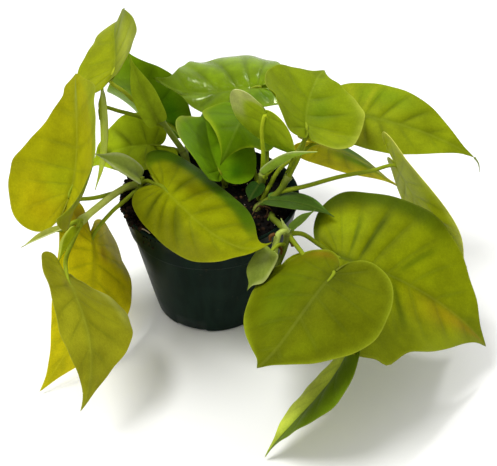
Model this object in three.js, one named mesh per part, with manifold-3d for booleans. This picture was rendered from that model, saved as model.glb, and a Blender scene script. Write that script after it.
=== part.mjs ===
// A young aroid vine with chartreuse heart-shaped leaves, growing in a dark green nursery pot.
// Millimetres, +Z up. The origin is the centre of the pot's flat underside, -Y is the front.

import * as THREE from "three";
import { mergeVertices } from "three/addons/utils/BufferGeometryUtils.js";
import Module from "manifold-3d";

const wasm = await Module();
wasm.setup();

// Driving dimensions
const clearance = 0.3;
const bladeThickness = 0.8;
const bladeColumns = 3;
const narrowColumns = 2;
const narrowWidth = 20;
const marginStep = 10.5;
const marginWaves = 2.5;
const stalkSides = 5;
const vineSides = 7;
const stalkStep = 10;

const pot = {
  height: 87,
  rimRadius: 57.5,
  bandHeight: 20,
  bandFootRadius: 53.3,
  bodyTopRadius: 51.9,
  baseRadius: 39.5,
  cornerRadius: 2.5,
  wall: 1.4,
  floor: 2,
  lip: 1.2,
  sides: 36,
  notches: 4,
  notchAngle: 31,
  notchHeight: 2.4,
  notchDepth: 8,
  firstNotch: 250,
};

const soil = {
  level: 79,
  topRadius: 53.4,
  heap: 5,
  lump: 1.2,
  rings: 4,
};

const colours = {
  pot: 0x16281f,
  soil: 0x1b1612,
  stem: 0x86a028,
  yellow: 0xa9a60e,
  chartreuse: 0x8f9d12,
  lime: 0x7fa511,
  olive: 0x727c0c,
  dark: 0x3c6b0f,
  sheath: 0x8ba34a,
};

// Every leaf: where its blade begins and ends, its width, how it is turned and bent, and the points
// that its stalk passes on the way from the vine. Angles are in degrees.
// roll turns the blade about its length, rise and drop bend it at the base and the tip, bow bends it
// sideways, fold lifts the halves, cup curls the margins down, twist turns the tip against the base.
// lobe and widest are parts of the length. even and heel make the right half wider or its lobe longer,
// and wave is the height of the waves along the margin.
const leaves = [
  {
    name: "Leaf_upper_left", vine: "Vine_back", colour: "chartreuse",
    base: [-57, 17, 162], tip: [-55, 74, 173], width: 64, roll: -47, rise: -2, drop: 38, bow: 3,
    fold: 15, cup: 0.01, lobe: 0.22, widest: 0.1, twist: -7, heel: -0.04,
    stalk: [[-33, 37, 120], [-39, 37, 123], [-46, 37, 130], [-54, 32, 142], [-60, 24, 153]],
  },
  {
    name: "Leaf_left_large", vine: "Vine_left", colour: "yellow",
    base: [-82, -34, 107], tip: [-77, 8, 167], width: 110, roll: -31, rise: -7, drop: 12, bow: 7,
    fold: 18, cup: -0.3, lobe: 0.27, widest: 0.03, twist: 13, even: 0.28, heel: -0.42,
    stalk: [[-46, 7, 88], [-60, -8, 92], [-73, -24, 99]],
  },
  {
    name: "Leaf_left_behind", vine: "Vine_back", colour: "olive",
    base: [-68, 24, 136], tip: [-76, 10, 81], width: 32, roll: 228, rise: 7, drop: 11, bow: 0,
    fold: 12, cup: 0.04, lobe: 0.22, widest: 0.16, twist: -2,
    stalk: [[-29, 36, 114], [-38, 36, 118], [-47, 33, 124], [-57, 30, 129]],
  },
  {
    name: "Leaf_left_quilted", vine: "Vine_back", colour: "chartreuse",
    base: [-37, 38, 99], tip: [-84, 42, 78], width: 47, roll: -34, rise: 21, drop: 24, bow: 4,
    fold: 17, cup: 0.05, lobe: 0.22, widest: 0.19, twist: -7, heel: -0.4,
    stalk: [[-18, 33, 95], [-25, 36, 97], [-31, 36, 98]],
  },
  {
    name: "Leaf_back_dark", vine: "Vine_back", colour: "dark",
    base: [-34, 64, 102], tip: [-60, 81, 151], width: 73, roll: -71, rise: 0, drop: 27, bow: 2,
    fold: -8, cup: 0.4, lobe: 0.25, widest: 0.26, twist: 31, even: -0.42, heel: 0.03,
    stalk: [[-17, 34, 94], [-18, 48, 96], [-27, 59, 100]],
  },
  {
    name: "Leaf_back_narrow", vine: "Vine_back", colour: "olive",
    base: [-34, 30, 122], tip: [-49, 36, 166], width: 17, roll: -50, rise: 2, drop: 7, bow: -2,
    fold: 20, cup: 0.05, lobe: 0.04, widest: 0.3, twist: 0, heel: 0, even: 0,
    stalk: [[-33, 37, 120], [-33, 33, 120]],
  },
  {
    name: "Leaf_top", vine: "Vine_centre", colour: "lime",
    base: [34, 65, 128], tip: [-36, 50, 143], width: 69, roll: -18, rise: -16, drop: -45, bow: 2,
    fold: 15, cup: 0.39, lobe: 0.22, widest: 0.3, twist: -6, even: 0.35, heel: -0.09, wave: 2,
    stalk: [[12, 20, 86], [17, 34, 94], [26, 51, 105], [34, 63, 117]],
  },
  {
    name: "Leaf_top_right", vine: "Vine_right", colour: "chartreuse",
    base: [60, -6, 137], tip: [74, 50, 148], width: 67, roll: 20, rise: -9, drop: 19, bow: -6,
    fold: 10, cup: -0.21, lobe: 0.26, widest: 0.26, twist: -27, heel: -0.06,
    stalk: [[50, -7, 104], [56, -8, 120]],
  },
  {
    name: "Leaf_olive_folded", vine: "Vine_middle", colour: "olive",
    base: [35, -9, 149], tip: [54, 10, 110], width: 48, roll: 180, rise: 12, drop: 31, bow: -2,
    fold: 8, cup: 0.02, lobe: 0.25, widest: 0.17, twist: 2, even: 0.16, heel: 0.45,
    stalk: [[34, 6, 99], [34, -2, 118], [33, -6, 138]],
  },
  {
    name: "Leaf_right_back", vine: "Vine_right", colour: "lime",
    base: [90, 40, 122], tip: [171, 16, 103], width: 49, roll: 38, rise: 18, drop: 24, bow: -2,
    fold: 10, cup: 0.06, lobe: 0.21, widest: 0.2, twist: 21,
    stalk: [[46, -8, 97], [54, 3, 112], [67, 17, 126], [79, 31, 126]],
  },
  {
    name: "Leaf_right_underside", vine: "Vine_right", colour: "olive",
    base: [69, 35, 102], tip: [128, 21, 75], width: 56, roll: 131, rise: -13, drop: -7, bow: -2,
    fold: 13, cup: 0, lobe: 0.2, widest: 0.3, twist: 15, heel: 0, even: -0.15,
    stalk: [[31, -8, 81], [38, 4, 88], [45, 13, 96], [56, 23, 99]],
  },
  {
    name: "Leaf_right_edge", vine: "Vine_right", colour: "olive",
    base: [116, -5, 111], tip: [166, -28, 47], width: 67, roll: 127, rise: 12, drop: 11, bow: -7,
    fold: 0, cup: 0.04, lobe: 0.165, widest: 0.17, twist: -31, even: -0.07, heel: -0.5,
    stalk: [[44, -8, 93], [60, -8, 97], [82, -6, 103], [100, -6, 107]],
  },
  {
    name: "Leaf_right_large", vine: "Vine_front", colour: "chartreuse",
    base: [78, -46, 72], tip: [173, -72, 20], width: 105, roll: 22, rise: 29, drop: 32, bow: 0,
    fold: 14, cup: -0.08, lobe: 0.21, widest: 0.21, twist: 15, even: 0.09, heel: 0.1,
    stalk: [[47, -49, 91], [57, -45, 88], [68, -46, 80]],
  },
  {
    name: "Leaf_front_heart", vine: "Vine_front", colour: "olive",
    base: [71, -100, 105], tip: [29, -154, 89], width: 87, roll: 1, rise: -2, drop: -33, bow: 3,
    fold: -15, cup: 0.24, lobe: 0.23, widest: 0.21, twist: -7, even: 0.17, heel: -0.17,
    stalk: [[48, -50, 92], [55, -62, 89], [62, -79, 90], [68, -92, 97]],
  },
  {
    name: "Leaf_front_hanging", vine: "Vine_front", colour: "dark",
    base: [84, -106, 58], tip: [34, -142, 2], width: 53, roll: 41, rise: -13, drop: 9, bow: -6,
    fold: 24, cup: 0.4, lobe: 0.03, widest: 0.23, twist: -19, even: -0.17, heel: 0,
    stalk: [[42, -58, 74], [50, -73, 62], [66, -92, 53], [78, -103, 52]],
  },
  {
    name: "Leaf_centre_yellow", vine: "Vine_left", colour: "yellow",
    base: [-29, -14, 101], tip: [38, -78, 108], width: 61, roll: 10, rise: -3, drop: -45, bow: 7,
    fold: 4, cup: 0.33, lobe: 0.25, widest: 0.3, twist: 8, even: -0.2, heel: -0.7,
    stalk: [[-46, 7, 88], [-40, 1, 95], [-34, -8, 99]],
  },
  {
    name: "Leaf_left_low", vine: "Vine_left", colour: "yellow",
    base: [-72, -31, 75], tip: [-104, -93, 2], width: 76, roll: -68, rise: 38, drop: 21, bow: -3,
    fold: -3, cup: 0.13, lobe: 0.2, widest: 0.16, twist: 27, even: -0.26, heel: 0.1,
    stalk: [[-41, 9, 85], [-46, -4, 91], [-52, -16, 92], [-60, -25, 89]],
  },
  {
    name: "Leaf_left_front", vine: "Vine_left", colour: "chartreuse",
    base: [-79, -76, 82], tip: [-69, -132, 30], width: 61, roll: -46, rise: 32, drop: 47, bow: 4,
    fold: -9, cup: -0.11, lobe: 0.12, widest: 0.25, twist: 33, even: -0.35, heel: 0.66,
    stalk: [[-76, -34, 90], [-80, -46, 85], [-82, -62, 83]],
  },
  {
    name: "Leaf_centre_small", vine: "Vine_centre", colour: "lime",
    base: [7, 7, 97], tip: [-4, 49, 116], width: 69, roll: 24, rise: 4, drop: 11, bow: -5,
    fold: 20, cup: -0.16, lobe: 0.21, widest: 0.21, twist: -14, even: -0.23, heel: 0.18,
    stalk: [[9, 16, 84], [9, 11, 86], [8, 8, 92]],
  },
  {
    name: "Leaf_centre_pointed", vine: "Vine_middle", colour: "lime",
    base: [25, 39, 124], tip: [7, 2, 106], width: 52, roll: -30, rise: 26, drop: 60, bow: 3,
    fold: -7, cup: 0.28, lobe: 0.12, widest: 0.15, twist: -16, heel: 0.05,
    stalk: [[34, 6, 90], [37, 18, 103], [34, 31, 117]],
  },
  {
    name: "Leaf_right_dark", vine: "Vine_right", colour: "dark",
    base: [41, -14, 91], tip: [78, -27, 87], width: 26, roll: -12, rise: 14, drop: 18, bow: 0,
    fold: 10, cup: 0.1, lobe: 0.14, widest: 0.3, twist: 0,
    stalk: [[31, -8, 81], [36, -12, 87]],
  },
  {
    name: "Leaf_middle_small", vine: "Vine_middle", colour: "dark",
    base: [31, 0, 92], tip: [25, -10, 86], width: 12, roll: 0, rise: 5, drop: 20, bow: 0,
    fold: 10, cup: 0, lobe: 0.16, widest: 0.3, twist: 0,
    stalk: [[34, 5, 90], [33, 2, 91]],
  },
  {
    name: "Leaf_hidden_back", vine: "Vine_middle", colour: "lime",
    base: [14, 64, 100], tip: [14, 112, 84], width: 44, roll: -6, rise: 12, drop: 24, bow: -2,
    fold: 12, cup: 0.1, lobe: 0.22, widest: 0.2, twist: -8,
    stalk: [[32, 5, 85], [30, 16, 88], [24, 38, 95], [17, 54, 99]],
  },
  {
    name: "Sheath_left_back", vine: "Vine_left", colour: "sheath",
    base: [-45, 4, 95], tip: [-72, 1, 116], width: 17, roll: -20, rise: 20, drop: 10, bow: 0,
    fold: 25, cup: 0.1, lobe: 0.02, widest: 0.35, twist: 0, stalkRadius: 1.2, stalk: [[-46, 7, 90]],
  },
  {
    name: "Sheath_left_front", vine: "Vine_left", colour: "sheath",
    base: [-77, -47, 94], tip: [-84, -73, 88], width: 8, roll: 10, rise: 15, drop: 15, bow: 0,
    fold: 25, cup: 0.1, lobe: 0.02, widest: 0.35, twist: 0, stalkRadius: 1.2,
    stalk: [[-76, -34, 90], [-76, -40, 94]],
  },
  {
    name: "Spear_left", vine: "Vine_left", colour: "sheath",
    base: [-85, -46, 93], tip: [-104, -72, 99], width: 7, roll: 0, rise: 8, drop: 4, bow: 0,
    fold: 30, cup: 0.1, lobe: 0.02, widest: 0.3, twist: 0, stalkRadius: 1.5,
    stalk: [[-76, -34, 90], [-80, -39, 92]],
  },
  {
    name: "Sheath_middle", vine: "Vine_middle", colour: "sheath",
    base: [36, -3, 103], tip: [65, -31, 137], width: 14, roll: -25, rise: 12, drop: 14, bow: 0,
    fold: 28, cup: 0.15, lobe: 0.02, widest: 0.42, twist: 0, stalkRadius: 1.2,
    stalk: [[35, 4, 96], [36, 0, 98]],
  },
  {
    name: "Spear_front", vine: "Vine_front", colour: "sheath",
    base: [50, -50, 95], tip: [64, -45, 106], width: 8, roll: 0, rise: 0, drop: 0, bow: 0,
    fold: 30, cup: 0.1, lobe: 0.02, widest: 0.35, twist: 0, stalkRadius: 1.4, stalk: [],
  },
  {
    name: "Sheath_front", vine: "Vine_front", colour: "sheath",
    base: [38, -68, 94], tip: [24, -78, 72], width: 16, roll: -10, rise: 10, drop: 0, bow: 0,
    fold: 12, cup: 0.15, lobe: 0.02, widest: 0.45, twist: 0, stalkRadius: 1.2,
    stalk: [[46, -55, 88], [42, -62, 93]],
  },
];

// Every vine: its radius, the points it passes on its way out of the soil, and its swollen nodes
const vines = [
  {
    name: "Vine_left", radius: 2.2, nodes: [[-46, 7, 89], [-76, -34, 90]],
    path: [
      [-33, 12, 60], [-36, 11, 78], [-42, 9, 86], [-50, 2, 91], [-58, -9, 93], [-68, -23, 92],
      [-77, -35, 90],
    ],
  },
  {
    name: "Vine_back", radius: 2, nodes: [[-18, 33, 95], [-33, 37, 120]],
    path: [[-13, 27, 60], [-14, 28, 80], [-18, 33, 95], [-25, 35, 107], [-33, 37, 120]],
  },
  {
    name: "Vine_centre", radius: 2, nodes: [[11, 19, 86]],
    path: [[9, 18, 60], [9, 17, 78], [11, 19, 86]],
  },
  {
    name: "Vine_middle", radius: 2, nodes: [[34, 6, 97]],
    path: [[32, 6, 60], [32, 5, 78], [34, 6, 97]],
  },
  {
    name: "Vine_right", radius: 2, nodes: [[31, -8, 81], [50, -7, 104]],
    path: [[28, -9, 60], [29, -9, 76], [31, -8, 81], [38, -8, 87], [44, -8, 93], [50, -7, 104]],
  },
  {
    name: "Vine_front", radius: 1.9, nodes: [[48, -50, 92]],
    path: [
      [40, -14, 60], [40, -17, 80], [40, -30, 88], [44, -43, 93], [48, -50, 92], [46, -56, 86],
      [42, -58, 74],
    ],
  },
];

const vec = (p) => new THREE.Vector3(p[0], p[1], p[2]);
const radians = THREE.MathUtils.degToRad;

// Between a closed mesh and a solid that can be joined and cut
function toSolid(geometry) {
  const bare = geometry.clone();
  bare.deleteAttribute("normal");
  bare.deleteAttribute("uv");
  const merged = mergeVertices(bare, 1e-4);
  const vertProperties = Float32Array.from(merged.attributes.position.array);
  const triVerts = Uint32Array.from(merged.index.array);
  return new wasm.Manifold(new wasm.Mesh({ numProp: 3, vertProperties, triVerts }));
}

function toGeometry(solid) {
  const mesh = solid.getMesh();
  const geometry = new THREE.BufferGeometry();
  const positions = Float32Array.from(mesh.vertProperties);
  geometry.setAttribute("position", new THREE.BufferAttribute(positions, 3));
  geometry.setIndex(new THREE.BufferAttribute(Uint32Array.from(mesh.triVerts), 1));
  geometry.computeVertexNormals();
  return geometry;
}

function joined(solids) {
  return solids.reduce((whole, piece) => whole.add(piece));
}

// A round stalk of even thickness along a smooth curve through the points
function tube(points, radius, sides = stalkSides) {
  const path = new THREE.CatmullRomCurve3(points.map(vec));
  const section = new THREE.Shape();
  for (let i = 0; i < sides; i++) {
    const angle = (2 * Math.PI * i) / sides;
    const x = radius * Math.cos(angle);
    const y = radius * Math.sin(angle);
    if (i === 0) section.moveTo(x, y);
    else section.lineTo(x, y);
  }
  const steps = Math.max(2, Math.round(path.getLength() / stalkStep));
  const options = { steps, extrudePath: path, bevelEnabled: false };
  return toSolid(new THREE.ExtrudeGeometry(section, options));
}

// Half of a leaf's outline, from the notch at the stalk round the lobe to the tip
function halfOutline(halfWidth, length, lobe, widest, rows) {
  const at = (x, y) => new THREE.Vector2(x * halfWidth, y * length);
  const path = new THREE.CurvePath();
  const shoulder = at(0.46, -lobe);
  const broad = at(1, widest);
  const neck = at(0.12, 0.88);
  path.add(new THREE.CubicBezierCurve(at(0, 0), at(0.02, -0.75 * lobe), at(0.22, -lobe), shoulder));
  path.add(new THREE.CubicBezierCurve(shoulder, at(0.8, -lobe), at(1, -0.25 * lobe), broad));
  path.add(new THREE.CubicBezierCurve(broad, at(1, widest + 0.3), at(0.36, 0.72), neck));
  path.add(new THREE.CubicBezierCurve(neck, at(0.054, 0.928), at(0.03, 0.97), at(0, 1)));
  return path.getSpacedPoints(rows);
}

// The leaf's middle line is a curve from base to tip. The blade stands out from it along lines that
// run like its side veins, from a point on the middle line to a point on the outline.
function bladeGrid(leaf) {
  const { even = 0, heel = 0, wave = 0 } = leaf;
  const base = vec(leaf.base);
  const tip = vec(leaf.tip);
  const along = tip.clone().sub(base);
  const length = along.length();
  along.normalize();
  const level = new THREE.Vector3(0, 0, 1).addScaledVector(along, -along.z).normalize();
  const side = along.clone().cross(level);
  const roll = radians(leaf.roll);
  const up = level.clone().multiplyScalar(Math.cos(roll)).addScaledVector(side, Math.sin(roll));
  side.crossVectors(along, up);
  const rise = radians(leaf.rise);
  const drop = radians(leaf.drop);
  const bend = (angle, sign) => along.clone().multiplyScalar((sign * length) / 3)
    .addScaledVector(up, (length / 3) * Math.tan(Math.max(-1.2, Math.min(1.2, angle))));
  const middle = new THREE.CubicBezierCurve3(
    base,
    base.clone().add(bend(rise, 1)).addScaledVector(side, leaf.bow),
    tip.clone().add(bend(drop, -1)).addScaledVector(side, leaf.bow),
    tip,
  );
  const columns = leaf.width < narrowWidth ? narrowColumns : bladeColumns;
  const rows = Math.max(leaf.width < narrowWidth ? 6 : 9, Math.round((length * 1.35) / marginStep));
  const halves = [-1, 1].map((sign) => halfOutline(
    (leaf.width / 2) * (1 + sign * even), length, leaf.lobe * (1 + sign * heel), leaf.widest, rows,
  ));
  const fold = radians(leaf.fold);
  const grid = [];
  for (let i = 0; i <= rows; i++) {
    const a = i / rows;
    const row = [];
    for (let j = -columns; j <= columns; j++) {
      const r = Math.abs(j) / columns;
      const edge = halves[j < 0 ? 0 : 1][i];
      const start = length * a ** 1.55;
      const x = Math.sign(j) * r * edge.x;
      const y = start + (edge.y - start) * r ** 1.25;
      const t = Math.min(1, Math.max(0, y / length));
      const tangent = middle.getTangent(t);
      const point = middle.getPoint(t).addScaledVector(tangent, Math.min(y, 0));
      const across = side.clone().addScaledVector(tangent, -tangent.dot(side)).normalize();
      const normal = across.clone().cross(tangent);
      const turn = radians(leaf.twist) * (t - 0.5);
      const flat = across.clone().multiplyScalar(Math.cos(turn));
      flat.addScaledVector(normal, -Math.sin(turn));
      const upright = normal.clone().multiplyScalar(Math.cos(turn));
      upright.addScaledVector(across, Math.sin(turn));
      const share = Math.abs(x) / (leaf.width / 2);
      const ripple = wave * Math.sin(2 * Math.PI * marginWaves * a + (j < 0 ? 0.9 : 0)) * r * r;
      const curl = leaf.cup * (leaf.width / 2) * share * share;
      const height = Math.abs(x) * Math.sin(fold) - curl + ripple;
      row.push(point.addScaledVector(flat, x * Math.cos(fold)).addScaledVector(upright, height));
    }
    grid.push(row);
  }
  return grid;
}

// The direction that the blade faces at each point of the grid
function gridNormals(grid) {
  const last = grid.length - 1;
  const columns = grid[0].length;
  const normals = grid.map((row, i) => row.map((point, j) => {
    const before = grid[Math.max(i - 1, 0)][j];
    const after = grid[Math.min(i + 1, last)][j];
    const left = row[Math.max(j - 1, 0)];
    const right = row[Math.min(j + 1, columns - 1)];
    return right.clone().sub(left).cross(after.clone().sub(before)).normalize();
  }));
  for (const i of [0, last]) {
    const near = normals[i === 0 ? 1 : last - 1];
    const mean = near.reduce((sum, n) => sum.add(n), new THREE.Vector3()).normalize();
    normals[i] = normals[i].map(() => mean.clone());
  }
  return normals;
}

// A closed blade of even thickness on the grid, pointed at both ends
function bladeSolid(grid, thickness) {
  const normals = gridNormals(grid);
  const last = grid.length - 1;
  const columns = grid[0].length;
  const positions = [];
  const indexOf = new Map();
  const vertex = (i, j, face) => {
    const column = i === 0 || i === last ? 0 : j;
    const key = `${i},${column},${face}`;
    if (!indexOf.has(key)) {
      const point = grid[i][column].clone();
      point.addScaledVector(normals[i][column], (face * thickness) / 2);
      indexOf.set(key, positions.length / 3);
      positions.push(point.x, point.y, point.z);
    }
    return indexOf.get(key);
  };
  const triangles = [];
  const triangle = (a, b, c) => {
    if (a !== b && b !== c && c !== a) triangles.push(a, b, c);
  };
  for (let i = 0; i < last; i++) {
    for (let j = 0; j < columns - 1; j++) {
      for (const face of [1, -1]) {
        const a = vertex(i, j, face);
        const b = vertex(i, j + 1, face);
        const c = vertex(i + 1, j + 1, face);
        const d = vertex(i + 1, j, face);
        if (face > 0) {
          triangle(a, b, c);
          triangle(a, c, d);
        } else {
          triangle(a, c, b);
          triangle(a, d, c);
        }
      }
    }
    for (const j of [0, columns - 1]) {
      const a = vertex(i, j, 1);
      const b = vertex(i + 1, j, 1);
      const c = vertex(i + 1, j, -1);
      const d = vertex(i, j, -1);
      if (j === 0) {
        triangle(a, b, c);
        triangle(a, c, d);
      } else {
        triangle(a, c, b);
        triangle(a, d, c);
      }
    }
  }
  const geometry = new THREE.BufferGeometry();
  geometry.setAttribute("position", new THREE.BufferAttribute(new Float32Array(positions), 3));
  geometry.setIndex(triangles);
  return toSolid(geometry);
}

// A blade with its stalk sunk into it, cut clear of the vine that it grows from
function leafSolid(leaf, vineClear) {
  const grid = bladeGrid(leaf);
  const blade = bladeSolid(grid, bladeThickness);
  const middle = (grid[0].length - 1) / 2;
  const ahead = grid[2][middle];
  const stalk = [...leaf.stalk, leaf.base, [ahead.x, ahead.y, ahead.z]];
  const radius = leaf.stalkRadius ?? 1.4;
  return blade.add(tube(stalk, radius)).subtract(vineClear);
}

function bead(point, radius) {
  const ball = new THREE.IcosahedronGeometry(radius, 1);
  ball.translate(point[0], point[1], point[2]);
  return toSolid(ball);
}

// A vine with its nodes. The grown one cuts the room that the vine needs in soil and stalks.
function vineSolid(vine, grow) {
  const ends = grow > 0 ? [vine.path[0], vine.path[vine.path.length - 1]] : [];
  const beads = [...vine.nodes, ...ends].map((point) => bead(point, vine.radius * 1.35 + grow));
  return joined([tube(vine.path, vine.radius + grow, vineSides), ...beads]);
}

// The pot's wall as one turned profile: flat floor, straight sides, a stepped band under the rim
function potSolid() {
  const { height, rimRadius, bandHeight, bandFootRadius, bodyTopRadius, baseRadius, wall, lip } = pot;
  const step = height - bandHeight;
  const profile = [
    [0, 0],
    [baseRadius - pot.cornerRadius, 0],
    [baseRadius, pot.cornerRadius],
    [bodyTopRadius, step - 0.8],
    [bandFootRadius, step],
    [rimRadius - 0.9, height - 2.2],
    [rimRadius, height - 1.6],
    [rimRadius, height - 0.4],
    [rimRadius - 0.4, height],
    [rimRadius - lip - 0.6, height],
    [rimRadius - lip - 1, height - 0.6],
    [bandFootRadius - wall, step + 0.6],
    [bodyTopRadius - wall, step - 1.4],
    [baseRadius - wall + 0.2, pot.floor + 1.2],
    [baseRadius - wall - 1, pot.floor],
    [0, pot.floor],
  ];
  const points = profile.map(([r, z]) => new THREE.Vector2(r, z));
  const turned = new THREE.LatheGeometry(points, pot.sides);
  turned.rotateX(Math.PI / 2);
  let solid = toSolid(turned);
  for (let i = 0; i < pot.notches; i++) {
    const angle = radians(pot.firstNotch + (360 / pot.notches) * i);
    solid = solid.subtract(notch(angle));
  }
  return solid;
}

// A shallow slot through the foot of the pot, where water runs out
function notch(angle) {
  const half = radians(pot.notchAngle / 2);
  const outer = pot.baseRadius + 4;
  const inner = pot.baseRadius - pot.notchDepth;
  const slot = new THREE.Shape();
  slot.absarc(0, 0, outer, angle - half, angle + half, false);
  slot.absarc(0, 0, inner, angle + half, angle - half, true);
  const depth = pot.notchHeight + 1;
  const cut = new THREE.ExtrudeGeometry(slot, { depth, bevelEnabled: false, curveSegments: 6 });
  cut.translate(0, 0, -1);
  return toSolid(cut);
}

// How high the soil stands above its level: heaped to the left, with low lumps all over
function soilHeight(x, y) {
  const left = Math.max(0, -x / soil.topRadius);
  const broad = Math.sin(x * 0.31 + 1.3) * Math.cos(y * 0.27 - 0.6);
  const fine = 0.6 * Math.sin(x * 0.17 - y * 0.45);
  return soil.heap * left * left + (soil.lump * (broad + fine)) / 1.6;
}

// A plug of soil that fills the pot, with a plain hole round each vine
function soilSolid(vinesClear) {
  const gap = 1.3 * clearance;
  const step = pot.height - pot.bandHeight;
  const floorRadius = pot.baseRadius - pot.wall - 1 - gap;
  const profile = [
    [0, pot.floor + clearance],
    [floorRadius, pot.floor + clearance],
    [floorRadius + 1, pot.floor + 1.2 + clearance],
    [pot.bodyTopRadius - pot.wall - gap, step - 1.2],
    [pot.bandFootRadius - pot.wall - gap, step + 1],
    [soil.topRadius, soil.level],
  ];
  for (let i = soil.rings - 1; i >= 0; i--) {
    profile.push([(soil.topRadius * i) / soil.rings, soil.level]);
  }
  const plug = new THREE.LatheGeometry(profile.map(([r, z]) => new THREE.Vector2(r, z)), pot.sides);
  plug.rotateX(Math.PI / 2);
  const position = plug.attributes.position;
  for (let i = 0; i < position.count; i++) {
    if (position.getZ(i) > soil.level - 0.01) {
      const raised = soil.level + soilHeight(position.getX(i), position.getY(i));
      position.setZ(i, raised);
    }
  }
  return toSolid(plug).subtract(vinesClear);
}

function material(colour, roughness) {
  return new THREE.MeshStandardMaterial({ color: colour, roughness, metalness: 0 });
}

const group = new THREE.Group();

function addPart(name, solid, colour, roughness) {
  const mesh = new THREE.Mesh(toGeometry(solid), material(colour, roughness));
  mesh.name = name;
  group.add(mesh);
}

const vineClear = new Map(vines.map((vine) => [vine.name, vineSolid(vine, clearance)]));

addPart("Pot", potSolid(), colours.pot, 0.45);
addPart("Soil", soilSolid(joined([...vineClear.values()])), colours.soil, 0.95);
for (const vine of vines) {
  addPart(vine.name, vineSolid(vine, 0), colours.stem, 0.5);
}
for (const leaf of leaves) {
  addPart(leaf.name, leafSolid(leaf, vineClear.get(leaf.vine)), colours[leaf.colour], 0.4);
}

export default group;
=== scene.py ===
# A young aroid vine with chartreuse heart-shaped leaves in a dark green nursery pot, dressed
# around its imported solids. Sizes in the dictionaries are millimetres, angles are degrees.
import math

import bpy
import numpy as np
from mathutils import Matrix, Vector


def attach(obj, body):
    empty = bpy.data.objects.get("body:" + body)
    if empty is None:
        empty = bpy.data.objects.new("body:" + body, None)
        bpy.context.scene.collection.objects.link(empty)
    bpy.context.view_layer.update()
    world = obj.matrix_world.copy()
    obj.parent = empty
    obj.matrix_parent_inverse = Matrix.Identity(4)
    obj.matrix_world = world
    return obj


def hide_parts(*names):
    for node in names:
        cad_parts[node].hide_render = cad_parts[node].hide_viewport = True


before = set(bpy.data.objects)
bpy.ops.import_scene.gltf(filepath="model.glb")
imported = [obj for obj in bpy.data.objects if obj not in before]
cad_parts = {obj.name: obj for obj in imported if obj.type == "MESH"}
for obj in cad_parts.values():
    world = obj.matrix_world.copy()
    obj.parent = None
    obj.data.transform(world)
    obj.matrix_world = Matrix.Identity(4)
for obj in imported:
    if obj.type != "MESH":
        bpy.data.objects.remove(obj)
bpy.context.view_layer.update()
print("frame loaded")

mm = 0.001


def linearColour(code):
    # an sRGB hex code as linear red, green and blue, by the two parts of the sRGB curve
    parts = np.array([int(code[i:i + 2], 16) for i in (1, 3, 5)]) / 255
    return np.where(parts <= 0.04045, parts / 12.92, ((parts + 0.055) / 1.055) ** 2.4)


def unit(v):
    # each vector divided by its length
    return v / np.maximum(np.linalg.norm(v, axis=-1, keepdims=True), 1e-12)


def circle(sides):
    # the angles of the corners of a regular ring
    return np.linspace(0, 2 * math.pi, sides, endpoint=False)


def cubic(p0, p1, p2, p3, t):
    # the point of a cubic Bezier curve at t, and its direction there
    t = np.asarray(t)[..., None]
    s = 1 - t
    point = s ** 3 * p0 + 3 * s ** 2 * t * p1 + 3 * s * t ** 2 * p2 + t ** 3 * p3
    slope = 3 * s ** 2 * (p1 - p0) + 6 * s * t * (p2 - p1) + 3 * t ** 2 * (p3 - p2)
    return point, unit(slope)


def evenly(line, count):
    # the line sampled again at even lengths, and how far along it each new point lies
    run = np.concatenate([[0], np.cumsum(np.linalg.norm(np.diff(line, axis=0), axis=1))])
    even = np.linspace(0, run[-1], count)
    return np.stack([np.interp(even, run, column) for column in line.T], axis=1), even


def smoothPath(points, count):
    # a centripetal Catmull-Rom curve through the points, sampled at even lengths
    p = np.array(points, float)
    p = np.vstack([2 * p[0] - p[1], p, 2 * p[-1] - p[-2]])
    steps = np.maximum(np.linalg.norm(np.diff(p, axis=0), axis=1), 1e-6) ** 0.5
    knots = np.concatenate([[0], np.cumsum(steps)])
    t = np.linspace(knots[1], knots[-2], count * 4)
    k = np.clip(np.searchsorted(knots, t, side="right") - 1, 1, len(p) - 3)

    def mix(a, b, ta, tb):
        return ((tb - t) / (tb - ta))[:, None] * a + ((t - ta) / (tb - ta))[:, None] * b

    t0, t1, t2, t3 = knots[k - 1], knots[k], knots[k + 1], knots[k + 2]
    a1, a2, a3 = mix(p[k - 1], p[k], t0, t1), mix(p[k], p[k + 1], t1, t2), mix(p[k + 1], p[k + 2], t2, t3)
    b1, b2 = mix(a1, a2, t0, t2), mix(a2, a3, t1, t3)
    return evenly(mix(b1, b2, t1, t2), count)


def valueNoise(points, scale, seed):
    # smooth noise from -1 to 1: random values at the corners of a cubic lattice, blended inside it
    table = np.random.default_rng(seed).uniform(-1, 1, (32, 32, 32))
    q = np.asarray(points, float) / scale
    cell = np.floor(q).astype(int)
    f = q - cell
    f = f * f * (3 - 2 * f)
    total = 0
    for corner in range(8):
        o = np.array([corner & 1, corner >> 1 & 1, corner >> 2 & 1])
        w = np.prod(np.where(o, f, 1 - f), axis=-1)
        i = (cell + o) % 32
        total = total + w * table[i[..., 0], i[..., 1], i[..., 2]]
    return total


def softStep(distance, width):
    # 0 well below zero and 1 well above it, with a slope of the given width between
    return 1 / (1 + np.exp(np.clip(-distance / width, -50, 50)))


def ringFaces(rings, sides, turned=False):
    # the faces of a closed skin in three blocks: quads from ring to ring, then a fan from each end
    # ring to its hub. The hubs are the two vertices after the rings. turned turns every face over.
    ring = np.arange(rings * sides).reshape(rings, sides)
    after = np.roll(ring, -1, axis=1)
    first, last = np.full(sides, rings * sides), np.full(sides, rings * sides + 1)
    blocks = [
        np.stack([ring[:-1], after[:-1], after[1:], ring[1:]], axis=-1).reshape(-1, 4),
        np.stack([first, after[0], ring[0]], axis=1),
        np.stack([last, ring[-1], after[-1]], axis=1),
    ]
    return [block[:, ::-1] for block in blocks] if turned else blocks


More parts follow.
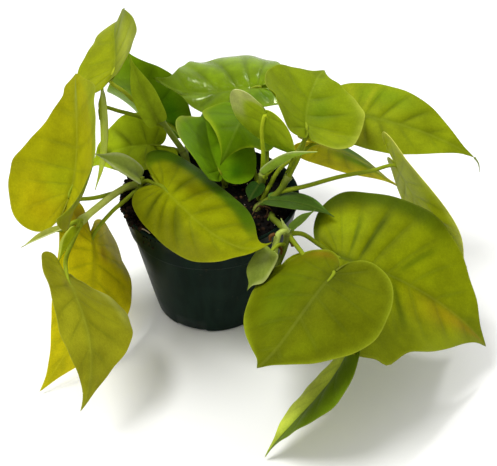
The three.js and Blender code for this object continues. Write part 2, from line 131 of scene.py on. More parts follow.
class Patch:
    # vertices, faces and the attributes that the materials read, gathered for one object
    def __init__(self):
        self.points, self.faces, self.tints, self.places, self.unders = [], [], [], [], []
        self.count = 0

    def add(self, points, faces, tint, place=(0, 0, 0), under=0.0):
        # faces holds blocks of faces with the same number of corners; place is (mm from the midrib,
        # side vein number, share of the way to the margin); under is 1 on a leaf's underside
        n = len(points)
        self.points.append(points)
        self.faces += [corners for block in faces for corners in (block + self.count).tolist()]
        self.tints.append(np.broadcast_to(tint, (n, 3)))
        self.places.append(np.broadcast_to(place, (n, 3)))
        self.unders.append(np.broadcast_to(under, (n,)))
        self.count += n

    def build(self, name, material, nodes=(), smooth=True):
        # one mesh in metres, which rides on the part's only body and stands for the nodes
        mesh = bpy.data.meshes.new(name)
        mesh.from_pydata((np.vstack(self.points) * mm).tolist(), [], self.faces)
        mesh.update()
        rgba = np.hstack([np.vstack(self.tints), np.ones((self.count, 1))])
        for key, kind, field, values in (
            ("tint", "FLOAT_COLOR", "color", rgba),
            ("place", "FLOAT_VECTOR", "vector", np.vstack(self.places)),
            ("under", "FLOAT", "value", np.concatenate(self.unders)),
        ):
            mesh.attributes.new(key, kind, "POINT").data.foreach_set(field, values.ravel())
        mesh.polygons.foreach_set("use_smooth", np.full(len(mesh.polygons), smooth))
        mesh.materials.append(material)
        piece = bpy.data.objects.new(name, mesh)
        bpy.context.scene.collection.objects.link(piece)
        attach(piece, "root")
        if nodes:
            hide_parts(*nodes)


def addTube(patch, points, radii, sides, tint):
    # a round tube with blunt ends: a circle at each point of the path, square to it and of that
    # point's radius; tint is one colour, or one for each point
    direction = unit(np.gradient(points, axis=0))
    spare = [0.31, 0.95, 0.05] if abs(direction[:, 1]).mean() < 0.7 else [0.95, 0.05, 0.31]
    a = unit(np.cross(direction, spare))[:, None]
    b = np.cross(direction, a[:, 0])[:, None]
    turn = circle(sides)[None, :, None]
    wall = points[:, None] + (a * np.cos(turn) + b * np.sin(turn)) * radii[:, None, None]
    bulge = 0.3  # of the end's radius
    hubs = [points[0] - direction[0] * radii[0] * bulge, points[-1] + direction[-1] * radii[-1] * bulge]
    if np.ndim(tint) == 2:
        tint = np.vstack([np.repeat(tint, sides, axis=0), tint[:1], tint[-1:]])
    # its place keeps clear of midrib, side veins and margin, so the skin draws none of them on it
    patch.add(np.vstack([wall.reshape(-1, 3), hubs]), ringFaces(len(points), sides), tint, (9, 0.5, 0.4))


# Where each blade begins and ends, how it is turned and bent, and where its stalk runs: the same
# values as the solids have. A value that an entry leaves out comes from the defaults above it.
leafDefaults = dict(bow=0, cup=0, twist=0, even=0, heel=0, wave=0, stalkRadius=1.4)
leafShapes = {
    "Leaf_upper_left": dict(
        base=(-57, 17, 162), tip=(-55, 74, 173), width=64, roll=-47, rise=-2, drop=38,
        bow=3, fold=15, cup=0.01, lobe=0.22, widest=0.1, twist=-7, heel=-0.04,
        stalk=[(-33, 37, 120), (-39, 37, 123), (-46, 37, 130), (-54, 32, 142), (-60, 24, 153)],
    ),
    "Leaf_left_large": dict(
        base=(-82, -34, 107), tip=(-77, 8, 167), width=110, roll=-31, rise=-7, drop=12,
        bow=7, fold=18, cup=-0.3, lobe=0.27, widest=0.03, twist=13, even=0.28, heel=-0.42,
        stalk=[(-46, 7, 88), (-60, -8, 92), (-73, -24, 99)],
    ),
    "Leaf_left_behind": dict(
        base=(-68, 24, 136), tip=(-76, 10, 81), width=32, roll=228, rise=7, drop=11,
        fold=12, cup=0.04, lobe=0.22, widest=0.16, twist=-2,
        stalk=[(-29, 36, 114), (-38, 36, 118), (-47, 33, 124), (-57, 30, 129)],
    ),
    "Leaf_left_quilted": dict(
        base=(-37, 38, 99), tip=(-84, 42, 78), width=47, roll=-34, rise=21, drop=24,
        bow=4, fold=17, cup=0.05, lobe=0.22, widest=0.19, twist=-7, heel=-0.4,
        stalk=[(-18, 33, 95), (-25, 36, 97), (-31, 36, 98)],
    ),
    "Leaf_back_dark": dict(
        base=(-34, 64, 102), tip=(-60, 81, 151), width=73, roll=-71, rise=0, drop=27,
        bow=2, fold=-8, cup=0.4, lobe=0.25, widest=0.26, twist=31, even=-0.42, heel=0.03,
        stalk=[(-17, 34, 94), (-18, 48, 96), (-27, 59, 100)],
    ),
    "Leaf_back_narrow": dict(
        base=(-34, 30, 122), tip=(-49, 36, 166), width=17, roll=-50, rise=2, drop=7,
        bow=-2, fold=20, cup=0.05, lobe=0.04, widest=0.3,
        stalk=[(-33, 37, 120), (-33, 33, 120)],
    ),
    "Leaf_top": dict(
        base=(34, 65, 128), tip=(-36, 50, 143), width=69, roll=-18, rise=-16, drop=-45,
        bow=2, fold=15, cup=0.39, lobe=0.22, widest=0.3, twist=-6, even=0.35, heel=-0.09, wave=2,
        stalk=[(12, 20, 86), (17, 34, 94), (26, 51, 105), (34, 63, 117)],
    ),
    "Leaf_top_right": dict(
        base=(60, -6, 137), tip=(74, 50, 148), width=67, roll=20, rise=-9, drop=19,
        bow=-6, fold=10, cup=-0.21, lobe=0.26, widest=0.26, twist=-27, heel=-0.06,
        stalk=[(50, -7, 104), (56, -8, 120)],
    ),
    "Leaf_olive_folded": dict(
        base=(35, -9, 149), tip=(54, 10, 110), width=48, roll=180, rise=12, drop=31,
        bow=-2, fold=8, cup=0.02, lobe=0.25, widest=0.17, twist=2, even=0.16, heel=0.45,
        stalk=[(34, 6, 99), (34, -2, 118), (33, -6, 138)],
    ),
    "Leaf_right_back": dict(
        base=(90, 40, 122), tip=(171, 16, 103), width=49, roll=38, rise=18, drop=24,
        bow=-2, fold=10, cup=0.06, lobe=0.21, widest=0.2, twist=21,
        stalk=[(46, -8, 97), (54, 3, 112), (67, 17, 126), (79, 31, 126)],
    ),
    "Leaf_right_underside": dict(
        base=(69, 35, 102), tip=(128, 21, 75), width=56, roll=131, rise=-13, drop=-7,
        bow=-2, fold=13, lobe=0.2, widest=0.3, twist=15, even=-0.15,
        stalk=[(31, -8, 81), (38, 4, 88), (45, 13, 96), (56, 23, 99)],
    ),
    "Leaf_right_edge": dict(
        base=(116, -5, 111), tip=(166, -28, 47), width=67, roll=127, rise=12, drop=11,
        bow=-7, fold=0, cup=0.04, lobe=0.165, widest=0.17, twist=-31, even=-0.07, heel=-0.5,
        stalk=[(44, -8, 93), (60, -8, 97), (82, -6, 103), (100, -6, 107)],
    ),
    "Leaf_right_large": dict(
        base=(78, -46, 72), tip=(173, -72, 20), width=105, roll=22, rise=29, drop=32,
        fold=14, cup=-0.08, lobe=0.21, widest=0.21, twist=15, even=0.09, heel=0.1,
        stalk=[(47, -49, 91), (57, -45, 88), (68, -46, 80)],
    ),
    "Leaf_front_heart": dict(
        base=(71, -100, 105), tip=(29, -154, 89), width=87, roll=1, rise=-2, drop=-33,
        bow=3, fold=-15, cup=0.24, lobe=0.23, widest=0.21, twist=-7, even=0.17, heel=-0.17,
        stalk=[(48, -50, 92), (55, -62, 89), (62, -79, 90), (68, -92, 97)],
    ),
    "Leaf_front_hanging": dict(
        base=(84, -106, 58), tip=(34, -142, 2), width=53, roll=41, rise=-13, drop=9,
        bow=-6, fold=24, cup=0.4, lobe=0.03, widest=0.23, twist=-19, even=-0.17,
        stalk=[(42, -58, 74), (50, -73, 62), (66, -92, 53), (78, -103, 52)],
    ),
    "Leaf_centre_yellow": dict(
        base=(-29, -14, 101), tip=(38, -78, 108), width=61, roll=10, rise=-3, drop=-45,
        bow=7, fold=4, cup=0.33, lobe=0.25, widest=0.3, twist=8, even=-0.2, heel=-0.7,
        stalk=[(-46, 7, 88), (-40, 1, 95), (-34, -8, 99)],
    ),
    "Leaf_left_low": dict(
        base=(-72, -31, 75), tip=(-104, -93, 2), width=76, roll=-68, rise=38, drop=21,
        bow=-3, fold=-3, cup=0.13, lobe=0.2, widest=0.16, twist=27, even=-0.26, heel=0.1,
        stalk=[(-41, 9, 85), (-46, -4, 91), (-52, -16, 92), (-60, -25, 89)],
    ),
    "Leaf_left_front": dict(
        base=(-79, -76, 82), tip=(-69, -132, 30), width=61, roll=-46, rise=32, drop=47,
        bow=4, fold=-9, cup=-0.11, lobe=0.12, widest=0.25, twist=33, even=-0.35, heel=0.66,
        stalk=[(-76, -34, 90), (-80, -46, 85), (-82, -62, 83)],
    ),
    "Leaf_centre_small": dict(
        base=(7, 7, 97), tip=(-4, 49, 116), width=69, roll=24, rise=4, drop=11,
        bow=-5, fold=20, cup=-0.16, lobe=0.21, widest=0.21, twist=-14, even=-0.23, heel=0.18,
        stalk=[(9, 16, 84), (9, 11, 86), (8, 8, 92)],
    ),
    "Leaf_centre_pointed": dict(
        base=(25, 39, 124), tip=(7, 2, 106), width=52, roll=-30, rise=26, drop=60,
        bow=3, fold=-7, cup=0.28, lobe=0.12, widest=0.15, twist=-16, heel=0.05,
        stalk=[(34, 6, 90), (37, 18, 103), (34, 31, 117)],
    ),
    "Leaf_right_dark": dict(
        base=(41, -14, 91), tip=(78, -27, 87), width=26, roll=-12, rise=14, drop=18,
        fold=10, cup=0.1, lobe=0.14, widest=0.3,
        stalk=[(31, -8, 81), (36, -12, 87)],
    ),
    "Leaf_middle_small": dict(
        base=(31, 0, 92), tip=(25, -10, 86), width=12, roll=0, rise=5, drop=20,
        fold=10, lobe=0.16, widest=0.3,
        stalk=[(34, 5, 90), (33, 2, 91)],
    ),
    "Leaf_hidden_back": dict(
        base=(14, 64, 100), tip=(14, 112, 84), width=44, roll=-6, rise=12, drop=24,
        bow=-2, fold=12, cup=0.1, lobe=0.22, widest=0.2, twist=-8,
        stalk=[(32, 5, 85), (30, 16, 88), (24, 38, 95), (17, 54, 99)],
    ),
}

sheathDefaults = dict(leafDefaults, fold=25, cup=0.1, lobe=0.02, widest=0.35, stalkRadius=1.2)
sheathShapes = {
    "Sheath_left_back": dict(
        base=(-45, 4, 95), tip=(-72, 1, 116), width=17, roll=-20, rise=20, drop=10,
        stalk=[(-46, 7, 90)],
    ),
    "Sheath_left_front": dict(
        base=(-77, -47, 94), tip=(-84, -73, 88), width=8, roll=10, rise=15, drop=15,
        stalk=[(-76, -34, 90), (-76, -40, 94)],
    ),
    "Spear_left": dict(
        base=(-85, -46, 93), tip=(-104, -72, 99), width=7, roll=0, rise=8, drop=4,
        fold=30, widest=0.3, stalkRadius=1.5, stalk=[(-76, -34, 90), (-80, -39, 92)],
    ),
    "Sheath_middle": dict(
        base=(36, -3, 103), tip=(65, -31, 137), width=14, roll=-25, rise=12, drop=14,
        fold=28, cup=0.15, widest=0.42, stalk=[(35, 4, 96), (36, 0, 98)],
    ),
    "Spear_front": dict(
        base=(50, -50, 95), tip=(64, -45, 106), width=8, roll=0, rise=0, drop=0,
        fold=30, stalkRadius=1.4, stalk=[],
    ),
    "Sheath_front": dict(
        base=(38, -68, 94), tip=(24, -78, 72), width=16, roll=-10, rise=10, drop=0,
        fold=12, cup=0.15, widest=0.45, stalk=[(46, -55, 88), (42, -62, 93)],
    ),
}

# How each leaf looks: its main colour, those of its halves, underside, stalk and midrib where they
# differ, and the depth of its quilting. A darker midrib is painted shade along the midrib, a paler one
# the midrib's own colour; halves, stain marks, edges and streaks that are painted light or shade say so
# at their leaf. a runs from the notch to the tip round the margin, reach from the midrib to the margin.
# The halves are -1 and 1, and 0 stands for both in edges and streaks.
# ripple: height, phase.    margin: half, a, spread, mm outward, mm up: a lobe in the outline.
# stain and shadow marks: reach with its side, a, size, colour.    edges: half, from a, to a, from reach, colour.
# streaks: half, side vein, spread, from reach, to reach, colour.
leafLooks = {
    "Leaf_upper_left": dict(
        tint="#87910a", right="#6f7c08", stalk="#b9c430", quilt=0.35, ripple=(0.6, 0.91),
        margin=[(-1, 0.84, 0.08, 5, 0), (1, 0.9, 0.05, 4, 0)],
        stainsAndShadows=[(0.5, 0.5, 0.4, "#919a20"), (-0.4, 0.3, 0.3, "#939c07")],
    ),
    "Leaf_left_large": dict(
        tint="#979708", quilt=0.35, ripple=(0.9, 0.91), spine="#7c7f08",
        margin=[(1, 0.9, 0.07, 8, -2), (-1, 0.95, 0.03, 3, 0)], edges=[(1, 0.4, 0.95, 0.72, "#84900e")],
        stainsAndShadows=[(-0.6, 0.3, 0.3, "#a39a06"), (0, 0.97, 0.13, "#8a9640"), (-0.2, 0.5, 0.3, "#8f9608")],
    ),
    "Leaf_left_behind": dict(
        tint="#a3b225", under="#a3b225", margin=[(1, 0.3, 0.22, 4, 0), (-1, 0.3, 0.22, 4, 0)],
    ),
    "Leaf_left_quilted": dict(
        tint="#9aad14", quilt=1.9, ripple=(1, 0.52), stainsAndShadows=[(0.3, 0.2, 0.4, "#7f900e")],
    ),
    "Leaf_back_dark": dict(
        tint="#75970a", under="#4c6c08", quilt=0.5, ripple=(0.6, 0.65), stainsAndShadows=[(0.4, 0.4, 0.4, "#4f8408")],
    ),
    "Leaf_back_narrow": dict(tint="#a8be20", quilt=0.2, spine="#7c8a18"),
    "Leaf_top": dict(
        tint="#6c8606", quilt=1.1, ripple=(1, 0.91), skin="glossy", spine="#617706",
        margin=[(1, 0.67, 0.035, 3.5, 1), (1, 0.585, 0.03, -2.5, 0), (1, 0.42, 0.07, 1.5, 0)],
        stainsAndShadows=[(0.8, 0.5, 0.3, "#789506"), (-0.5, 0.3, 0.35, "#557506")],
    ),
    "Leaf_top_right": dict(
        tint="#7d8f0a", quilt=0.5, ripple=(0.9, 0.65), edges=[(1, 0.1, 0.7, 0.94, "#a2ad36")],
        stainsAndShadows=[(0.3, 0.6, 0.25, "#637c09"), (0.6, 0.35, 0.3, "#87950a"), (-0.3, 0.25, 0.3, "#7c900c")],
    ),
    "Leaf_olive_folded": dict(
        tint="#acc121", under="#c6d438", quilt=0.3, stalk="#bccb2c", edges=[(1, 0.1, 0.5, 0.66, "#c8cf78")],
    ),
    "Leaf_right_back": dict(
        tint="#87940f", quilt=1, ripple=(0.6, 0.78), spine="#5f6e0c",
        stainsAndShadows=[(0.6, 0.3, 0.25, "#968e0e"), (-0.7, 0.5, 0.3, "#7d9510")],
        streaks=[(1, 2.6, 0.2, 0.15, 0.9, "#a5a21a"), (1, 3.5, 0.12, 0.2, 0.9, "#a09f1c"),
                 (1, 4.3, 0.2, 0.2, 0.9, "#a5a21a"), (-1, 3.4, 0.25, 0.2, 0.9, "#98a217"),
                 (-1, 4.6, 0.15, 0.2, 0.9, "#98a217")],
    ),
    "Leaf_right_underside": dict(
        tint="#cfcb0a", under="#f0e00e", quilt=0.6, spine="#e6dc50",
        stainsAndShadows=[(0, 0.75, 0.35, "#5f9a10"), (-0.8, 0.5, 0.4, "#5a9410")],
    ),
    "Leaf_right_edge": dict(tint="#b4bf1d", under="#cfd12f", quilt=0.5, edges=[(-1, 0, 1, 0.9, "#c6cd50")]),
    "Leaf_right_large": dict(
        tint="#808b06", quilt=0.7, ripple=(1.2, 1.04), spine="#405006",
        margin=[(1, 0.52, 0.09, 15, -2), (1, 0.605, 0.025, 7, -1), (1, 0.65, 0.03, -1, 0)],
        # edges: the dark band along the rolled upper margin is painted shade
        edges=[(-1, 0.06, 0.62, 0.82, "#4f6106")],
        stainsAndShadows=[(-0.5, 0.32, 0.2, "#919f07"), (0.3, 0.9, 0.3, "#9a8c08"), (0.25, 0.62, 0.2, "#8f9906"),
                (-0.35, 0.62, 0.2, "#879306"), (0.7, 0.45, 0.2, "#647309")],
        # streaks: painted shade in the creases along six side veins
        streaks=[(-1, 6.1, 0.16, 0.1, 0.75, "#465806"), (-1, 5.1, 0.14, 0.15, 0.6, "#556806"),
                 (-1, 8.3, 0.14, 0.15, 0.7, "#586a06"), (1, 8.3, 0.18, 0.08, 0.7, "#465706"),
                 (1, 5.4, 0.16, 0.2, 0.9, "#516106"), (1, 6.9, 0.14, 0.1, 0.6, "#5e6e06")],
    ),
    "Leaf_front_heart": dict(
        tint="#656e05", quilt=0.25, ripple=(0.6, 0.78), spine="#545d05", edges=[(0, 0, 1, 0.965, "#8c9a18")],
        stainsAndShadows=[(-0.1, 0.3, 0.3, "#565f06"), (0.8, 0.2, 0.16, "#7c6e0e"), (0.5, 0.6, 0.3, "#5f7007"),
                (-0.6, 0.8, 0.2, "#6e7a06")],
    ),
    "Leaf_front_hanging": dict(
        # left and right: the half turned from the light is painted darker olive, the half facing it paler
        tint="#89aa13", left="#5f780d", right="#c2d04a", under="#92aa1e", quilt=0.3, ripple=(0.5, 0.78),
    ),
    "Leaf_centre_yellow": dict(
        tint="#8d9406", quilt=0.9, ripple=(0.6, 0.78), edges=[(-1, 0.15, 0.85, 0.7, "#4a6a08")],
        stainsAndShadows=[(0, 0.1, 0.2, "#988f0a"), (0, 0.35, 0.3, "#9aa206"), (0.8, 0.6, 0.35, "#767807"),
                (-0.4, 0.5, 0.15, "#797a07")],
        # streaks: painted shade in the creases along three side veins
        streaks=[(1, 4, 0.3, 0.1, 0.9, "#6b7406"), (1, 6.2, 0.3, 0.1, 0.8, "#6b7406"),
                 (-1, 5, 0.3, 0.1, 0.7, "#6b7406")],
    ),
    "Leaf_left_low": dict(
        tint="#dad011", quilt=0.4, ripple=(0.8, 0.65), spine="#b9ae10",
        stainsAndShadows=[(0.6, 0.15, 0.3, "#a8901c"), (-0.2, 0.4, 0.1, "#b09a18")],
    ),
    "Leaf_left_front": dict(
        tint="#9a9a1b", quilt=0.28, ripple=(0.9, 0.78), spine="#a3a62c",
        edges=[(-1, 0.02, 0.5, 0.86, "#b9bc50")], stainsAndShadows=[(0.2, 0.4, 0.12, "#848128")],
    ),
    "Leaf_centre_small": dict(
        tint="#729b0c", quilt=0.6, ripple=(0.5, 0.65), edges=[(0, 0.5, 1, 0.93, "#98ab35")],
        stainsAndShadows=[(0.5, 0.3, 0.25, "#497a09")],
    ),
    "Leaf_centre_pointed": dict(
        # the dark stain entry is a painted shadow cast by Leaf_olive_folded above it
        tint="#5d7d06", quilt=0.7, ripple=(0.5, 0.65), stainsAndShadows=[(-0.3, 0.35, 0.22, "#385e06")],
        edges=[(1, 0.3, 1, 0.9, "#859b15"), (-1, 0.5, 1, 0.93, "#859b15")],
    ),
    "Leaf_right_dark": dict(
        tint="#486421", stalk="#4c6420", quilt=0.3, edges=[(-1, 0.1, 0.9, 0.8, "#5f8430")],
    ),
    "Leaf_middle_small": dict(tint="#22400e", stalk="#35501a", quilt=0.2),
    "Leaf_hidden_back": dict(tint="#4d8133", quilt=0.8),
    "Sheath_left_back": dict(
        tint="#a8b84e", edges=[(-1, 0, 1, 0.8, "#c0ca84"), (1, 0, 1, 0.86, "#c0ca84")],
        stainsAndShadows=[(0, 0.45, 0.3, "#98a45c")],
    ),
    "Sheath_left_front": dict(tint="#768106", edges=[(1, 0, 1, 0.7, "#a5b040")]),
    "Spear_left": dict(tint="#a5aa4a", edges=[(-1, 0, 1, 0.7, "#cdd490")]),
    "Sheath_middle": dict(tint="#c6e74e", edges=[(-1, 0, 1, 0.75, "#e0efa0"), (1, 0, 1, 0.85, "#dcec98")]),
    "Spear_front": dict(tint="#566d23", stainsAndShadows=[(0, 1, 0.2, "#b8c48c")]),
    "Sheath_front": dict(
        tint="#7e8d34", edges=[(-1, 0, 1, 0.85, "#a2ad60")], stainsAndShadows=[(0, 0.5, 0.3, "#8a944d")],
    ),
}

leafBuild = dict(
    rows=96, columns=20, smallRows=44, smallColumns=9, smallWidth=24,
    thickness=0.6, marginThickness=0.3, ribDepth=0.9, ribWidth=1.3, grooveDepth=0.7, grooveWidth=1.6,
    veinSpacing=11, veinCrowding=1.15, veinSweep=2.8, quiltDepth=1.5, rippleHeight=0.8,
    spineWidth=2.1, spineShare=0.8, streakShare=0.8, backShade=0.95,
    # quiltGlow is an even painted lift for the lit crests of quilted leaves, valleyShade painted shade in
    # the valleys
    halfBlend=0.8, streakBlend=0.05, edgeBlend=0.03, spotShortening=1.6, quiltGlow=0.04, valleyShade=0.36,
    drift=[(0.08, 26, 7), (0.04, 7, 8)],  # strength, size in mm, seed
    stalkSides=14, stalkColour="#8f9f22", stalkDrop=0.8, stalkTaper=[1.25, 1.05, 0.85, 0.25],
)


def halfOutline(halfWidth, length, lobe, widest, count):
    # half of a heart-shaped outline: four Bezier curves from the notch round the lobe to the tip,
    # sampled at even lengths
    def at(x, y):
        return np.array([x * halfWidth, y * length])

    shoulder, broad, neck = at(0.46, -lobe), at(1, widest), at(0.12, 0.88)
    t = np.linspace(0, 1, 200)
    parts = [
        (at(0, 0), at(0.02, -0.75 * lobe), at(0.22, -lobe), shoulder),
        (shoulder, at(0.8, -lobe), at(1, -0.25 * lobe), broad),
        (broad, at(1, widest + 0.3), at(0.36, 0.72), neck),
        (neck, at(0.054, 0.928), at(0.03, 0.97), at(0, 1)),
    ]
    return evenly(np.vstack([cubic(*part, t)[0] for part in parts]), count)[0]


def valleys(veins, half, reach):
    # how deep the blade dips over the side veins: a sharp dip at each whole vein number, of a
    # strength that differs from vein to vein, fading towards the midrib and the margin
    strength = 0.2 + 0.8 * np.sin(2.6 * np.round(veins) + 1.1 * half) ** 2
    body = np.sin(math.pi * np.clip(reach, 0, 1) ** 0.8) ** 0.7
    return (1 - np.abs(np.sin(math.pi * veins))) ** 1.4 * strength * body


def leafGrid(shape, look, rows, columns):
    # The middle line is a Bezier curve from base to tip. At row a the blade stands out along a line
    # that runs like a side vein, from the middle line at length * a^veinSweep to the outline; r is
    # the share of the way. Fold, cup, waves, ripples and the quilting between the veins lift it off
    # its plane, and a groove runs along the midrib. Each margin entry pushes a lobe out in the plane
    # and lifts it.
    base, tip = np.array(shape["base"], float), np.array(shape["tip"], float)
    width, roll = shape["width"], math.radians(shape["roll"])
    length = np.linalg.norm(tip - base)
    along = (tip - base) / length
    level = unit(np.array([0, 0, 1.0]) - along[2] * along)
    up = level * math.cos(roll) + np.cross(along, level) * math.sin(roll)
    side = np.cross(along, up)

    def bend(angle, sign):
        handle = along * sign + up * math.tan(math.radians(angle))
        return handle * length / 3 + side * shape["bow"]

    middle = (base, base + bend(shape["rise"], 1), tip + bend(shape["drop"], -1), tip)
    halves = [
        halfOutline(width / 2 * (1 + s * shape["even"]), length, shape["lobe"] * (1 + s * shape["heel"]),
                    shape["widest"], rows)
        for s in (-1, 1)
    ]
    a = np.linspace(0, 1, rows)[:, None]
    r = np.sin(np.linspace(0, 1, columns + 1) * math.pi / 2) ** 1.15
    r = np.concatenate([-r[:0:-1], r])[None, :]
    reach, left = np.abs(r), r < 0
    edge = np.where(left[..., None], halves[0][:, None, :], halves[1][:, None, :])
    x = np.sign(r) * reach * edge[..., 0]
    curl = 0
    for half, at, spread, out, lift in look.get("margin", []):
        near = np.exp(-((a - at) / spread) ** 2) * (np.sign(r) == half) * reach ** 3
        x = x + half * out * near
        curl = curl + lift * near
    start = length * a ** leafBuild["veinSweep"]
    y = start + (edge[..., 1] - start) * reach ** 1.25
    t = np.clip(y / length, 0, 1)
    centre, tangent = cubic(*middle, t)
    centre = centre + tangent * np.minimum(y, 0)[..., None]
    across = unit(side - tangent * (tangent @ side)[..., None])
    normal = np.cross(across, tangent)
    turn = (math.radians(shape["twist"]) * (t - 0.5))[..., None]
    flat = across * np.cos(turn) - normal * np.sin(turn)
    upright = normal * np.cos(turn) + across * np.sin(turn)
    fold = math.radians(shape["fold"])
    height = np.abs(x) * math.sin(fold) - shape["cup"] * (width / 2) * (np.abs(x) / (width / 2)) ** 2
    height += curl + shape["wave"] * np.sin(2 * math.pi * 2.5 * a + left * 0.9) * reach ** 2
    # side veins: their number grows along the leaf, closer together near the tip
    veins = 0.3 + a ** 0.9 * max(4, length / leafBuild["veinSpacing"] * leafBuild["veinCrowding"])
    quilt = look.get("quilt", 0) * leafBuild["quiltDepth"]
    height -= quilt * valleys(veins, np.sign(r), reach) * np.minimum(1, 6 * (1 - a))
    groove = leafBuild["grooveDepth"] * (width > leafBuild["smallWidth"])
    height -= groove * np.exp(-(np.abs(x) / leafBuild["grooveWidth"]) ** 2) * (1 - a)
    # ripples: a slow and a fast wave along the margin, out of step between the halves
    ripple, phase = look.get("ripple", (0, 0))
    swing = np.sin(2 * math.pi * (3.2 * a + phase) + left * 2.1)
    swing = swing + 0.5 * np.sin(2 * math.pi * 7.3 * a + np.where(left, 0.4, 1.7))
    height += ripple * leafBuild["rippleHeight"] * swing * reach ** 4 * np.minimum(1, 5 * (1 - a))
    points = centre + flat * (x * math.cos(fold))[..., None] + upright * height[..., None]
    place = np.stack([np.broadcast_to(v, x.shape) for v in (x, veins, reach)], axis=-1)
    return points, place


def gridNormals(points):
    # the way the surface faces: across the grid crossed with along it
    normals = np.cross(np.gradient(points, axis=1), np.gradient(points, axis=0))
    normals[0], normals[-1] = normals[1], normals[-2]
    return unit(normals)


def leafTint(look, points, place):
    # the leaf's colour, with its halves, its stain and shadow marks, streaks along chosen side veins,
    # coloured margins, painted shade in the valleys over the veins with an even painted lift for the lit
    # crests, and a slow random drift of tone over the blade
    b = leafBuild
    tint = linearColour(look["tint"]) * np.ones(points.shape)
    x, veins, reach = place[..., 0], place[..., 1], place[..., 2]
    half = np.sign(x)
    a = np.linspace(0, 1, points.shape[0])[:, None]

    def blend(share, code):
        return tint + (linearColour(code) - tint) * share[..., None]

    # halves: on Leaf_front_hanging the half turned from the light is painted darker, the half facing it
    # paler
    for key, sign in (("left", -1), ("right", 1)):
        if key in look:
            tint = blend(softStep(sign * x, b["halfBlend"]), look[key])
    # stain marks, and painted shadows such as the dark one on Leaf_centre_pointed
    for sideReach, at, size, code in look.get("stainsAndShadows", []):
        away = (half * reach - sideReach) ** 2 + ((a - at) * b["spotShortening"]) ** 2
        tint = blend(np.exp(-away / size ** 2), code)
    # streaks along side veins: paler vein lines, and painted shade in the creases where they are dark
    for side, number, spread, first, last, code in look.get("streaks", []):
        along = softStep(reach - first, b["streakBlend"]) * softStep(last - reach, b["streakBlend"])
        near = np.exp(-((veins - number) / spread) ** 2) * (half * side >= 0)
        tint = blend(near * along * b["streakShare"], code)
    # edges: a coloured margin, and painted shade on a rolled margin where it is dark
    for side, first, last, inner, code in look.get("edges", []):
        along = softStep(a - first, b["edgeBlend"]) * softStep(last - a, b["edgeBlend"])
        near = softStep(reach - inner, b["edgeBlend"]) * (half == side if side else half != 0)
        tint = blend(near * along, code)
    # a darker midrib colour is painted shade along the midrib, a paler one the midrib's own colour
    if "spine" in look:
        near = np.exp(-(x / b["spineWidth"]) ** 2) * np.minimum(1, 1.5 * (1 - a))
        tint = blend(near * b["spineShare"], look["spine"])
    # painted shade in the valleys over the side veins, with an even painted lift for the lit crests
    shade = look.get("quilt", 0) * (b["quiltGlow"] - b["valleyShade"] * valleys(veins, half, reach))
    drift = sum(strength * valueNoise(points, size, seed) for strength, size, seed in b["drift"])
    return tint * (1 + shade + drift)[..., None]


def addBlade(patch, shape, look):
    # The grid thickened both ways, thinner at the margin, with a rib under the midrib. Each row
    # goes over the top and back along the underside as one ring; notch and tip close the skin.
    small = shape["width"] < leafBuild["smallWidth"]
    rows = leafBuild["smallRows" if small else "rows"]
    columns = leafBuild["smallColumns" if small else "columns"]
    points, place = leafGrid(shape, look, rows, columns)
    normals = gridNormals(points)
    thin = place[..., 2:] ** 6
    fade = 1 - np.linspace(0, 1, rows)[:, None, None]
    thick = leafBuild["thickness"] * (1 - thin) + leafBuild["marginThickness"] * thin
    rib = np.exp(-(place[..., :1] / leafBuild["ribWidth"]) ** 2) * fade
    depth = thick / 2 + (0 if small else leafBuild["ribDepth"] * rib)
    tint = leafTint(look, points, place)
    under = leafBuild["backShade"]
    if "under" in look:
        under = linearColour(look["under"]) / linearColour(look["tint"])

    def wrap(upper, lower, ends):
        rings = np.concatenate([upper, lower[:, ::-1]], axis=1)[1:-1]
        return np.vstack([rings.reshape(-1, upper.shape[-1]), ends])

    closing = [0, -1]
    flat = np.zeros_like(thick)
    patch.add(
        wrap(points + normals * thick / 2, points - normals * depth, points[closing, 0]),
        ringFaces(rows - 2, 2 * points.shape[1]),
        wrap(tint, tint * under, tint[closing, 0]),
        wrap(place, place, place[closing, columns]),
        wrap(flat, flat + 1, flat[closing, 0])[:, 0],
    )
    return points


def makeLeaf(name, shape, look, kind):
    # a blade, and a stalk that runs through its points, joins the blade from below at the base and
    # thins out under the midrib
    patch = Patch()
    points = addBlade(patch, shape, look)
    middle, half = points.shape[1] // 2, points.shape[0] // 2
    down = -gridNormals(points)[:, middle]
    base = np.array(shape["base"], float)
    joint = base + down[2] * leafBuild["stalkDrop"]
    ahead = points[half, middle] + down[half] * leafBuild["ribDepth"]
    path, _ = smoothPath([*shape["stalk"], joint, ahead], 46)
    atBase = np.linalg.norm(path - base, axis=1).argmin() / len(path)
    taper = np.interp(np.linspace(0, 1, len(path)), [0, 0.12, atBase, 1], leafBuild["stalkTaper"])
    colour = linearColour(look.get("stalk", leafBuild["stalkColour"]))
    colour = colour * (1 + 0.08 * valueNoise(path, 9, 3))[:, None]
    addTube(patch, path, shape["stalkRadius"] * taper, leafBuild["stalkSides"], colour)
    patch.build(name.replace("_", "") + "Fine", materials[look.get("skin", kind)], [name])


